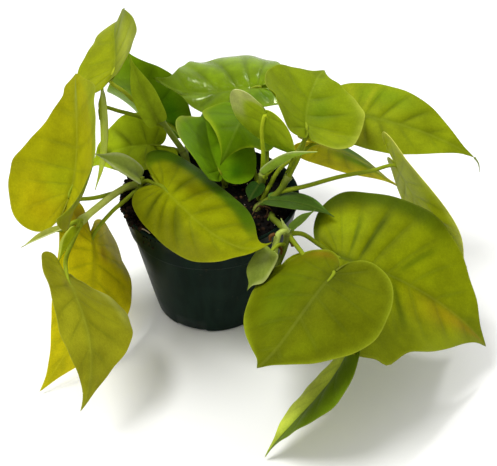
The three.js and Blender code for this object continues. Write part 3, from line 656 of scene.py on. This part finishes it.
vineLook = dict(
    sides=20, tint="#64721e", nodeTint="#8f9a44", swelling=0.36, swellingLength=3.2,
    scar="#5d5a28", scarAt=2.2, scarLength=0.5, scarHeight=0.25,
)
vineShapes = {
    "Vine_left": dict(
        radius=2.2, nodes=[(-46, 7, 89), (-76, -34, 90)], tint="#c0c95c",
        path=[(-33, 12, 60), (-36, 11, 78), (-42, 9, 86), (-50, 2, 91), (-58, -9, 93), (-68, -23, 92),
              (-77, -35, 90)],
    ),
    "Vine_back": dict(
        radius=2, nodes=[(-18, 33, 95), (-33, 37, 120)], tint="#8a9a34",
        path=[(-13, 27, 60), (-14, 28, 80), (-18, 33, 95), (-25, 35, 107), (-33, 37, 120)],
    ),
    "Vine_centre": dict(radius=2, nodes=[(11, 19, 86)], path=[(9, 18, 60), (9, 17, 78), (11, 19, 86)]),
    "Vine_middle": dict(radius=2, nodes=[(34, 6, 97)], path=[(32, 6, 60), (32, 5, 78), (34, 6, 97)]),
    "Vine_right": dict(
        radius=2, nodes=[(31, -8, 81), (50, -7, 104)],
        path=[(28, -9, 60), (29, -9, 76), (31, -8, 81), (38, -8, 87), (44, -8, 93), (50, -7, 104)],
    ),
    "Vine_front": dict(
        radius=1.9, nodes=[(48, -50, 92)],
        path=[(40, -14, 60), (40, -17, 80), (40, -30, 88), (44, -43, 93), (48, -50, 92), (46, -56, 86),
              (42, -58, 74)],
    ),
}


def makeVine(name, shape):
    # a tube whose radius swells at the nodes, with a thin ring where an old sheath sat
    path, run = smoothPath(shape["path"], 120)
    radii = np.full(len(path), float(shape["radius"]))
    tint = np.tile(linearColour(shape.get("tint", vineLook["tint"])), (len(path), 1))
    for node in shape["nodes"]:
        gap = run - run[np.linalg.norm(path - np.array(node, float), axis=1).argmin()]
        swell = np.exp(-(gap / vineLook["swellingLength"]) ** 2)
        scar = np.exp(-((gap - vineLook["scarAt"]) / vineLook["scarLength"]) ** 2)
        radii = radii + shape["radius"] * vineLook["swelling"] * swell + vineLook["scarHeight"] * scar
        tint = tint + (linearColour(vineLook["nodeTint"]) - tint) * swell[:, None] * 0.8
        tint = tint + (linearColour(vineLook["scar"]) - tint) * scar[:, None] * 0.7
    patch = Patch()
    addTube(patch, path, radii, vineLook["sides"], tint)
    patch.build(name.replace("_", "") + "Fine", materials["stem"], [name])


# Small parts at the nodes and on the soil, a tapered tube each: path, first radius, last radius, colour.
bits = dict(
    spike=([(48, -51, 94.5), (45.6, -52, 100), (43.7, -53, 105.5)], 1.7, 0.15, "#c4d474"),
    collar=([(47, -52, 96), (42.5, -57, 97.5), (40.5, -60, 90), (39.5, -60.5, 80)], 1.6, 2.4, "#b4c558"),
    rootBall=([(49.8, -52.5, 88.8), (50.9, -53, 87.4), (51.6, -53.2, 86)], 1.3, 1.7, "#6a4418"),
    brownTop=([(40, -60, 99.5), (37.6, -60.5, 98.5), (37.4, -61, 95.5)], 1.1, 0.8, "#553416"),
    brownLow=([(43, -61, 91), (44.2, -61, 88.5), (44, -61, 85.5)], 0.9, 0.7, "#5a3a18"),
    stub=([(39.3, -18, 84.4), (38, -19, 80), (36.6, -20, 76.5)], 0.9, 1.2, "#5f7a1c"),
    knob=([(-43.6, 6, 95), (-44.5, 4.5, 90), (-46.3, 2, 85)], 1.9, 2.6, "#8f9f2c"),
    rootThread=([(-41.5, -37, 85), (-38.5, -40.5, 88.2), (-34, -45, 88.4)], 0.4, 0.25, "#b9a888"),
    rootOne=([(33, -11, 82), (35, -13, 85), (38, -14, 84.5), (41.7, -15, 80)], 0.7, 0.4, "#3f2a16"),
    rootTwo=([(34, -12, 84), (31.5, -13, 85.5), (29, -13, 82), (27, -15, 80)], 0.6, 0.3, "#4a3320"),
    rootThree=([(36, -13, 83), (37, -16, 84), (36, -19, 80.5)], 0.6, 0.3, "#3a2614"),
    dripTip=([(171, 16, 103), (174.5, 16.5, 98), (176.5, 17, 91)], 0.7, 0.15, "#7c8a40"),
)


def makeBits():
    # each small part is a tube whose radius runs evenly from first to last, roughened by noise
    patch = Patch()
    for points, first, last, tint in bits.values():
        path, _ = smoothPath(points, 20)
        radii = np.linspace(first, last, len(path)) * (1 + 0.12 * valueNoise(path, 1.6, 9))
        addTube(patch, path, radii, 10, linearColour(tint))
    patch.build("NodeBits", materials["stem"])


potShape = dict(
    height=87, rim=57.5, band=20, bandFoot=53.3, bodyTop=51.9, foot=39.5, wall=1.4, floor=2, tint="#16281f",
    segments=216, notches=4, notchAngle=31, notchHeight=2.4, notchDepth=8, firstNotch=250, notchSlope=0.35,
)


def makePot():
    # the wall's profile turned round the axis: under the floor, up the outside over foot, body, band
    # and rim, and down the inside; the foot is lifted at the water notches
    p = potShape
    foot, body, band = p["foot"], p["bodyTop"], p["bandFoot"]
    rim, top, wall = p["rim"], p["height"], p["wall"]
    step, pole = top - p["band"], 0.01
    profile = np.array([
        [pole, 0], [20, 0], [foot - p["notchDepth"], 0], [foot - 5, 0], [foot - 2.2, 0],
        [foot - 1.1, 0.3], [foot - 0.3, 1.1], [foot, 2.5],
        [foot + 2.4, 14], [foot + 5.5, 30], [foot + 9.4, 50],
        [body - 0.35, step - 2.4], [body, step - 0.9], [band - 0.5, step - 0.5], [band, step],
        [band + 0.12, step + 0.7], [band + 2, step + 9],
        [rim - 0.95, top - 2.6], [rim - 0.5, top - 2.2], [rim, top - 1.6], [rim + 0.02, top - 0.8],
        [rim - 0.25, top - 0.2], [rim - 0.7, top], [rim - 1.4, top], [rim - 2, top - 0.5],
        [band - wall, step + 0.6], [body - wall, step - 1.4],
        [foot - wall + 0.2, p["floor"] + 1.2], [foot - wall - 1, p["floor"]], [pole, p["floor"]],
    ])
    turn = circle(p["segments"])
    r, z = profile[:, :1], profile[:, 1:]
    share = 360 / p["notches"]
    phase = (np.degrees(turn) - p["firstNotch"] + share / 2) % share - share / 2
    notched = softStep(p["notchAngle"] / 2 - np.abs(phase), p["notchSlope"])
    lift = ((r > foot - p["notchDepth"] + 1) & (z < p["notchHeight"])) * notched
    height = z + (p["notchHeight"] - z) * lift
    points = np.stack([r * np.cos(turn), r * np.sin(turn), height], axis=-1)
    rings, sides = points.shape[:2]
    caps = np.arange(rings * sides).reshape(rings, sides)
    patch = Patch()
    faces = [ringFaces(rings, sides)[0], caps[:1, ::-1], caps[-1:]]
    patch.add(points.reshape(-1, 3), faces, linearColour(p["tint"]))
    patch.build("PotShell", materials["pot"], ["Pot"])


soilShape = dict(
    level=79, radius=53.2, heap=7.5, lump=1.2, rings=70, segments=220, tint="#100d0b",
    plug=[(52.2, 68), (50.2, 65.6), (37.4, 3.6), (36.6, 2.4)],
)


def soilHeight(x, y):
    # the level, heaped by the square of the way to the left, with broad lumps and three sizes of crumb
    left = np.maximum(0, -x / 53.4)
    broad = np.sin(x * 0.31 + 1.3) * np.cos(y * 0.27 - 0.6) + 0.6 * np.sin(x * 0.17 - y * 0.45)
    p = np.stack([x, y, 0 * x], axis=-1)
    crumbly = valueNoise(p, 5, 11) * 0.7 + valueNoise(p, 2.1, 12) * 0.45 + valueNoise(p, 0.9, 13) * 0.3
    return soilShape["level"] + soilShape["heap"] * left ** 2 + soilShape["lump"] * broad / 1.6 + crumbly


def makeSoil():
    # a disc of rings lifted by the soil's height, over a plug that fills the pot
    s = soilShape
    turn = circle(s["segments"])
    spread = s["radius"] * np.linspace(0, 1, s["rings"] + 1)[1:, None]
    x, y = spread * np.cos(turn), spread * np.sin(turn)
    top = np.stack([x, y, soilHeight(x, y)], axis=-1)
    radius, z = np.array(s["plug"]).T[..., None]
    side = np.stack([radius * np.cos(turn), radius * np.sin(turn), 0 * turn + z], axis=-1)
    points = np.concatenate([top, side])
    hubs = [[0, 0, soilHeight(np.zeros(1), np.zeros(1))[0]], [0, 0, s["plug"][-1][1]]]
    patch = Patch()
    faces = ringFaces(*points.shape[:2], turned=True)
    patch.add(np.vstack([points.reshape(-1, 3), hubs]), faces, linearColour(s["tint"]))
    patch.build("SoilTop", materials["soil"], ["Soil"])


def chunk(rings, sides):
    # a small ball: rings of a unit sphere and its two poles, to be pushed about for each crumb
    tilt = np.linspace(0, math.pi, rings + 2)[1:-1, None]
    turn = circle(sides)
    out = np.sin(tilt)
    wall = np.stack([out * np.cos(turn), out * np.sin(turn), np.cos(tilt) + 0 * turn], axis=-1)
    return np.vstack([wall.reshape(-1, 3), [[0, 0, 1], [0, 0, -1]]]), ringFaces(rings, sides, turned=True)


barkTints = ["#1d140e", "#2a1d13", "#140f0b", "#3a281a", "#5c452c"]
looseBits = {
    "BarkCrumbs": dict(
        count=520, size=(0.5, 1.9), flatness=(0.35, 0.9), tints=barkTints, seed=21, finish="crumbs",
        lift=0.35, radii=(0, 50.5), arc=(0, 360),
    ),
    "RimCrumbs": dict(
        count=300, size=(0.8, 2.1), flatness=(0.4, 0.9), tints=barkTints[:4], seed=23, finish="crumbs",
        lift=0, radii=(51.5, 57.2), arc=(158, 226), level=(84.5, 87.2),
    ),
    "BandSpecks": dict(
        count=16, size=(0.35, 0.7), flatness=(0.5, 0.9), tints=barkTints[:2], seed=24, finish="crumbs",
        lift=0, radii=(56.2, 57), arc=(226, 238), level=(76.5, 85),
    ),
    "PerliteGrains": dict(
        count=70, size=(0.4, 0.9), flatness=(0.7, 1), tints=["#b8ae9c", "#a8987c", "#cfc8b8"], seed=22,
        finish="perlite", lift=0.5, radii=(0, 50.5), arc=(0, 360),
    ),
}


def scatter(name, kind):
    # crumbs at seeded places on the soil, or between two levels, each one stretched, turned and
    # dented on its own
    random = np.random.default_rng(kind["seed"])
    ball, faces = chunk(4, 8)
    patch = Patch()
    inner, outer = kind["radii"]
    spread = np.sqrt(random.uniform(inner ** 2, outer ** 2, kind["count"]))
    turn = np.radians(random.uniform(*kind["arc"], kind["count"]))
    x, y = spread * np.cos(turn), spread * np.sin(turn)
    z = random.uniform(*kind["level"], kind["count"]) if "level" in kind else soilHeight(x, y)
    for i in range(kind["count"]):
        size = random.uniform(*kind["size"])
        axes, _ = np.linalg.qr(random.normal(size=(3, 3)))
        form = ball * (1 + 0.22 * valueNoise(ball + random.uniform(0, 30, 3), 0.7, 5)[:, None])
        form = form * size * np.array([1, random.uniform(0.6, 1), random.uniform(*kind["flatness"])])
        form = form @ (axes * np.sign(np.linalg.det(axes))) + [x[i], y[i], z[i] + size * kind["lift"]]
        patch.add(form, faces, linearColour(kind["tints"][random.integers(len(kind["tints"]))]))
    patch.build(name, materials[kind["finish"]], smooth=False)


class Nodes:
    # puts nodes into one node tree; a value is a number, a colour or another node's output
    def __init__(self, tree):
        self.tree = tree

    def new(self, kind):
        return self.tree.nodes.new(kind)

    def feed(self, value, socket):
        if isinstance(value, bpy.types.NodeSocket):
            self.tree.links.new(value, socket)
        elif isinstance(value, tuple):
            socket.default_value = (*value, 1)
        else:
            socket.default_value = value

    def feedAll(self, node, names, values):
        for name, value in zip(names, values):
            self.feed(value, node.inputs[name])

    def math(self, operation, a, b=0.0):
        node = self.new("ShaderNodeMath")
        node.operation = operation
        self.feedAll(node, (0, 1), (a, b))
        return node.outputs[0]

    def times(self, a, b):
        return self.math("MULTIPLY", a, b)

    def plus(self, a, b):
        return self.math("ADD", a, b)

    def ramp(self, value, low, high, outLow=0.0, outHigh=1.0):
        # a smooth step from outLow at low to outHigh at high
        node = self.new("ShaderNodeMapRange")
        node.interpolation_type = "SMOOTHSTEP"
        names = ("Value", "From Min", "From Max", "To Min", "To Max")
        self.feedAll(node, names, (value, low, high, outLow, outHigh))
        return node.outputs["Result"]

    def mix(self, share, a, b, mode="MIX"):
        node = self.new("ShaderNodeMix")
        node.data_type = "RGBA"
        node.blend_type = mode
        self.feedAll(node, (0, 6, 7), (share, a, b))
        return node.outputs[2]

    def noise(self, vector, scale, detail=2.0, roughness=0.5):
        node = self.new("ShaderNodeTexNoise")
        self.feedAll(node, ("Vector", "Scale", "Detail", "Roughness"), (vector, scale, detail, roughness))
        return node.outputs["Fac"]

    def attribute(self, name, output):
        node = self.new("ShaderNodeAttribute")
        node.attribute_name = name
        return node.outputs[output]

    def spot(self):
        # the point on the object, in metres
        return self.new("ShaderNodeTexCoord").outputs["Object"]

    def bump(self, height, strength, distance, shader):
        node = self.new("ShaderNodeBump")
        self.feedAll(node, ("Height", "Strength", "Distance"), (height, strength, distance))
        self.feed(node.outputs["Normal"], shader.inputs["Normal"])


def startMaterial(name):
    material = bpy.data.materials.new(name)
    material.use_nodes = True
    return material, Nodes(material.node_tree), material.node_tree.nodes["Principled BSDF"]


# widths in mm from the midrib, shares of the space between side veins, and shares of the way to
# the margin; colours are linear. The halos darken the skin beside the midrib and the side veins: painted
# crease shade.
skinMarks = dict(
    midrib=(0.45, 1.15), midribHalo=(0.6, 5.0), vein=(0.02, 0.075), veinHalo=(0.02, 0.16),
    veinFade=(0.55, 0.97), margin=(0.975, 0.995), haloShare=0.2, wobbleScale=90, wobble=0.10,
    netCells=520, netWidth=0.10, blotchScale=75, blotches=0.35, grainScale=900, grain=0.3,
    haloTint=(0.35, 0.5, 0.2), paler=(1.9, 1.7, 2.2), veinTint=(0.42, 0.46, 0.08),
    marginTint=(0.42, 0.46, 0.10), blotchGloss=0.14, underGloss=0.15,
)


def makeLeafSkin():
    # A group that works out the leaf's skin from the attributes: a paler midrib and side veins in
    # darker halos of painted crease shade, a fine net, a pale margin, blotches and grain, with its roughness
    # and relief.
    # Place is (mm from the midrib, side vein number, share of the way to the margin).
    group = bpy.data.node_groups.new("leafSkin", "ShaderNodeTree")
    for name, kind, value in (
        ("Tint", "Color", (0.3, 0.35, 0.02, 1)), ("Place", "Vector", (9, 0.5, 0.4)), ("Under", "Float", 0.0),
        ("Midrib", "Float", 0.3), ("Vein", "Float", 0.1), ("Net", "Float", 0.3), ("Mottle", "Float", 0.3),
        ("Gloss", "Float", 0.42),
    ):
        socket = group.interface.new_socket(name, in_out="INPUT", socket_type="NodeSocket" + kind)
        socket.default_value = value
    for name, kind in (("Color", "Color"), ("Roughness", "Float"), ("Height", "Float")):
        group.interface.new_socket(name, in_out="OUTPUT", socket_type="NodeSocket" + kind)
    n, m = Nodes(group), skinMarks
    given, out = n.new("NodeGroupInput").outputs, n.new("NodeGroupOutput").inputs
    where = n.spot()
    split = n.new("ShaderNodeSeparateXYZ")
    n.feed(given["Place"], split.inputs[0])
    x, number, reach = split.outputs
    fromMidrib = n.math("ABSOLUTE", x)
    midrib = n.ramp(fromMidrib, *m["midrib"], 1, 0)
    halo = n.ramp(fromMidrib, *m["midribHalo"], 1, 0)
    wobble = n.times(n.math("SUBTRACT", n.noise(where, m["wobbleScale"], 2), 0.5), m["wobble"])
    nearest = n.math("PINGPONG", n.plus(number, wobble), 0.5)
    fade = n.ramp(reach, *m["veinFade"], 1, 0)
    sideVein = n.times(n.ramp(nearest, *m["vein"], 1, 0), fade)
    sideHalo = n.times(n.ramp(nearest, *m["veinHalo"], 1, 0), fade)
    cells = n.new("ShaderNodeTexVoronoi")
    cells.feature = "DISTANCE_TO_EDGE"
    n.feed(m["netCells"], cells.inputs["Scale"])
    n.feed(where, cells.inputs["Vector"])
    net = n.ramp(cells.outputs["Distance"], 0.0, m["netWidth"], 1, 0)
    blotch = n.noise(where, m["blotchScale"], 3, 0.6)
    grainy = n.noise(where, m["grainScale"], 2, 0.6)
    margin = n.ramp(reach, *m["margin"])
    veins = n.math("MAXIMUM", n.times(midrib, given["Midrib"]), n.times(sideVein, given["Vein"]))
    # the halos: painted crease shade beside the midrib and the side veins
    shade = n.times(n.math("MAXIMUM", halo, sideHalo), m["haloShare"])
    darker = n.mix(shade, given["Tint"], m["haloTint"], "MULTIPLY")
    spread = n.times(n.ramp(blotch, 0.3, 0.7, -1, 1), given["Mottle"])
    grain = n.times(n.math("SUBTRACT", grainy, 0.5), m["grain"])
    bright = n.plus(n.times(spread, m["blotches"]), grain)
    scaled = n.new("ShaderNodeVectorMath")
    scaled.operation = "SCALE"
    n.feed(darker, scaled.inputs[0])
    n.feed(n.plus(bright, 1.0), scaled.inputs["Scale"])
    plain = scaled.outputs[0]
    paler = n.mix(1.0, plain, m["paler"], "MULTIPLY")
    netted = n.mix(n.times(net, n.times(given["Net"], 0.5)), plain, paler)
    veined = n.mix(veins, netted, n.mix(0.5, paler, m["veinTint"]))
    edged = n.mix(n.times(margin, 0.25), veined, n.mix(0.4, paler, m["marginTint"]))
    n.feed(edged, out["Color"])
    rough = n.plus(given["Gloss"], n.times(blotch, m["blotchGloss"]))
    n.feed(n.plus(rough, n.times(given["Under"], m["underGloss"])), out["Roughness"])
    relief = n.plus(n.times(grainy, 0.35), n.times(net, -0.5))
    n.feed(n.plus(relief, n.times(sideVein, -0.8)), out["Height"])
    return group


def plantMaterial(name, skin, values, glow, shine):
    # the leaf skin on a plastic-like shader, with a share of light that shines through the blade
    material, n, shader = startMaterial(name)
    box = n.new("ShaderNodeGroup")
    box.node_tree = skin
    for key, output in (("Tint", "Color"), ("Place", "Vector"), ("Under", "Fac")):
        n.feed(n.attribute(key.lower(), output), box.inputs[key])
    for key, value in values.items():
        box.inputs[key].default_value = value
    shader.inputs["IOR"].default_value = 1.25
    shader.inputs["Specular IOR Level"].default_value = shine
    shader.inputs["Specular Tint"].default_value = (0.9, 1.0, 0.55, 1)
    n.feed(box.outputs["Color"], shader.inputs["Base Color"])
    n.feed(box.outputs["Roughness"], shader.inputs["Roughness"])
    n.bump(box.outputs["Height"], 0.25, 0.0004, shader)
    if glow:
        clear = n.new("ShaderNodeBsdfTranslucent")
        n.feed(box.outputs["Color"], clear.inputs["Color"])
        blend = n.new("ShaderNodeMixShader")
        n.feedAll(blend, (0, 1, 2), (glow, shader.outputs[0], clear.outputs[0]))
        n.feed(blend.outputs[0], material.node_tree.nodes["Material Output"].inputs["Surface"])
    return material


potFinish = dict(
    dark=(0.0036, 0.0100, 0.0064), light=(0.0062, 0.0160, 0.0104), cloudy=(0.011, 0.024, 0.016),
    soiled=(0.06, 0.045, 0.03), shine=0.035, streakScale=160, streakLength=0.12, cloudScale=40,
    speckScale=420, specks=(0.70, 0.74), scuffScale=1400, gloss=(0.30, 0.46),
)


def potMaterial():
    # moulded plastic: faint upright streaks, a few soil specks, small scuffs in the gloss
    material, n, shader = startMaterial("mouldedPot")
    p = potFinish
    shader.inputs["Specular IOR Level"].default_value = p["shine"]
    where = n.spot()
    stretch = n.new("ShaderNodeMapping")
    stretch.inputs["Scale"].default_value = (1, 1, p["streakLength"])
    n.feed(where, stretch.inputs["Vector"])
    streak = n.noise(stretch.outputs["Vector"], p["streakScale"], 3, 0.6)
    cloud = n.noise(where, p["cloudScale"], 3, 0.6)
    speck = n.ramp(n.noise(where, p["speckScale"], 2, 0.6), *p["specks"])
    colour = n.mix(n.ramp(streak, 0.35, 0.7), p["dark"], p["light"])
    colour = n.mix(n.times(n.ramp(cloud, 0.45, 0.75), 0.5), colour, p["cloudy"])
    colour = n.mix(n.times(speck, 0.5), colour, p["soiled"])
    n.feed(colour, shader.inputs["Base Color"])
    n.feed(n.plus(n.ramp(cloud, 0.3, 0.8, *p["gloss"]), n.times(speck, 0.3)), shader.inputs["Roughness"])
    scuffs = n.times(n.noise(where, p["scuffScale"], 2, 0.5), 0.4)
    n.bump(n.plus(streak, scuffs), 0.12, 0.0003, shader)
    return material


def earthMaterial(name, roughness, spread):
    # peat, crumbs and grains: the tint attribute, broken up by noise, with a rough bump
    material, n, shader = startMaterial(name)
    shader.inputs["Specular IOR Level"].default_value = 0.1
    where = n.spot()
    coarse = n.noise(where, 260, 4, 0.65)
    fine = n.noise(where, 1500, 3, 0.6)
    tint = n.attribute("tint", "Color")
    broken = n.mix(n.ramp(coarse, 0.35, 0.7), (0.25, 0.25, 0.25), (1.6, 1.5, 1.4))
    n.feed(n.mix(spread, tint, n.mix(1.0, tint, broken, "MULTIPLY")), shader.inputs["Base Color"])
    n.feed(n.ramp(fine, 0.3, 0.7, roughness - 0.12, roughness), shader.inputs["Roughness"])
    n.bump(n.plus(coarse, n.times(fine, 0.5)), 0.7, 0.0008, shader)
    return material


# how strongly each plant finish shows its veins, net and mottling, its light through the blade
# and its shine
plantFinishes = dict(
    leaf=("leafBlade", dict(Midrib=0.12, Vein=0.05, Net=0.2, Mottle=0.35, Gloss=0.36), 0.18, 0.16),
    glossy=("leafGlossy", dict(Midrib=0.1, Vein=0.05, Net=0.15, Mottle=0.5, Gloss=0.06), 0.15, 0.55),
    papery=("paperySheath", dict(Midrib=0.0, Vein=0.0, Net=0.1, Mottle=0.4, Gloss=0.5), 0.15, 0.1),
    stem=("greenStem", dict(Midrib=0.0, Vein=0.0, Net=0.0, Mottle=0.5, Gloss=0.34), 0.0, 0.5),
)
leafSkin = makeLeafSkin()
materials = {
    key: plantMaterial(name, leafSkin, values, glow, shine)
    for key, (name, values, glow, shine) in plantFinishes.items()
}
materials["pot"] = potMaterial()
materials["soil"] = earthMaterial("dampPeat", 0.95, 1.0)
materials["crumbs"] = earthMaterial("barkCrumbs", 0.95, 0.9)
materials["perlite"] = earthMaterial("perliteGrains", 0.9, 0.35)
print("materials made")

for kind, defaults, shapes in (("leaf", leafDefaults, leafShapes), ("papery", sheathDefaults, sheathShapes)):
    for name, shape in shapes.items():
        makeLeaf(name, {**defaults, **shape}, leafLooks[name], kind)
print("leaves made")
for name, shape in vineShapes.items():
    makeVine(name, shape)
makeBits()
print("vines made")
makePot()
makeSoil()
for name, kind in looseBits.items():
    scatter(name, kind)
print("pot and soil made")

# Floor, lights and camera; target is the point that the camera and both lamps look at
studio = dict(
    floor="#fafaf8", world=0.72, keyPower=12.5, keySize=0.5, keyPlace=(-520, -200, 1250),
    fillPower=4.5, fillSize=0.12, fillPlace=(380, 760, 1150),
    target=(24.9, 0, 53.8), camera=(24.9, -432.2, 389.1), focalPixels=819.4, imageWidth=497,
)


def makeFloor():
    # one pale square of 8 m, just under the pot's foot
    x, y = np.meshgrid([-4.0, 4.0], [-4.0, 4.0])
    points = np.stack([x.ravel(), y.ravel(), np.full(4, -0.0002)], axis=1)
    mesh = bpy.data.meshes.new("Floor")
    mesh.from_pydata(points.tolist(), [], [(0, 1, 3, 2)])
    material, _, shader = startMaterial("paleFloor")
    shader.inputs["Base Color"].default_value = (*linearColour(studio["floor"]), 1)
    shader.inputs["Roughness"].default_value = 0.9
    mesh.materials.append(material)
    floor = bpy.data.objects.new("Floor", mesh)
    bpy.context.scene.collection.objects.link(floor)


def aimed(name, data, place):
    # an object for the data at its place, turned so that it looks at the target
    holder = bpy.data.objects.new(name, data)
    holder.location = Vector(place) * mm
    aim = Vector(studio["target"]) * mm - holder.location
    holder.rotation_euler = aim.to_track_quat("-Z", "Y").to_euler()
    bpy.context.scene.collection.objects.link(holder)
    return holder


def makeLamp(name, key):
    # a round lamp with its own place, size and power
    lamp = bpy.data.lights.new(name, "AREA")
    lamp.shape = "DISK"
    lamp.size = studio[key + "Size"]
    lamp.energy = studio[key + "Power"]
    aimed(name, lamp, studio[key + "Place"])


def makeCamera():
    # the lens is the fitted focal length in pixels, as a share of the photograph's width
    data = bpy.data.cameras.new("Camera")
    data.sensor_width = 36
    data.lens = studio["focalPixels"] * data.sensor_width / studio["imageWidth"]
    data.clip_start, data.clip_end = 0.01, 20
    bpy.context.scene.camera = aimed("Camera", data, studio["camera"])


makeFloor()
makeLamp("KeyLight", "key")
makeLamp("FillLight", "fill")
makeCamera()
world = bpy.data.worlds.new("Studio")
world.use_nodes = True
world.node_tree.nodes["Background"].inputs["Color"].default_value = (1, 1, 1, 1)
world.node_tree.nodes["Background"].inputs["Strength"].default_value = studio["world"]
bpy.context.scene.world = world
bpy.context.scene.view_settings.view_transform = "Standard"
print("studio made")
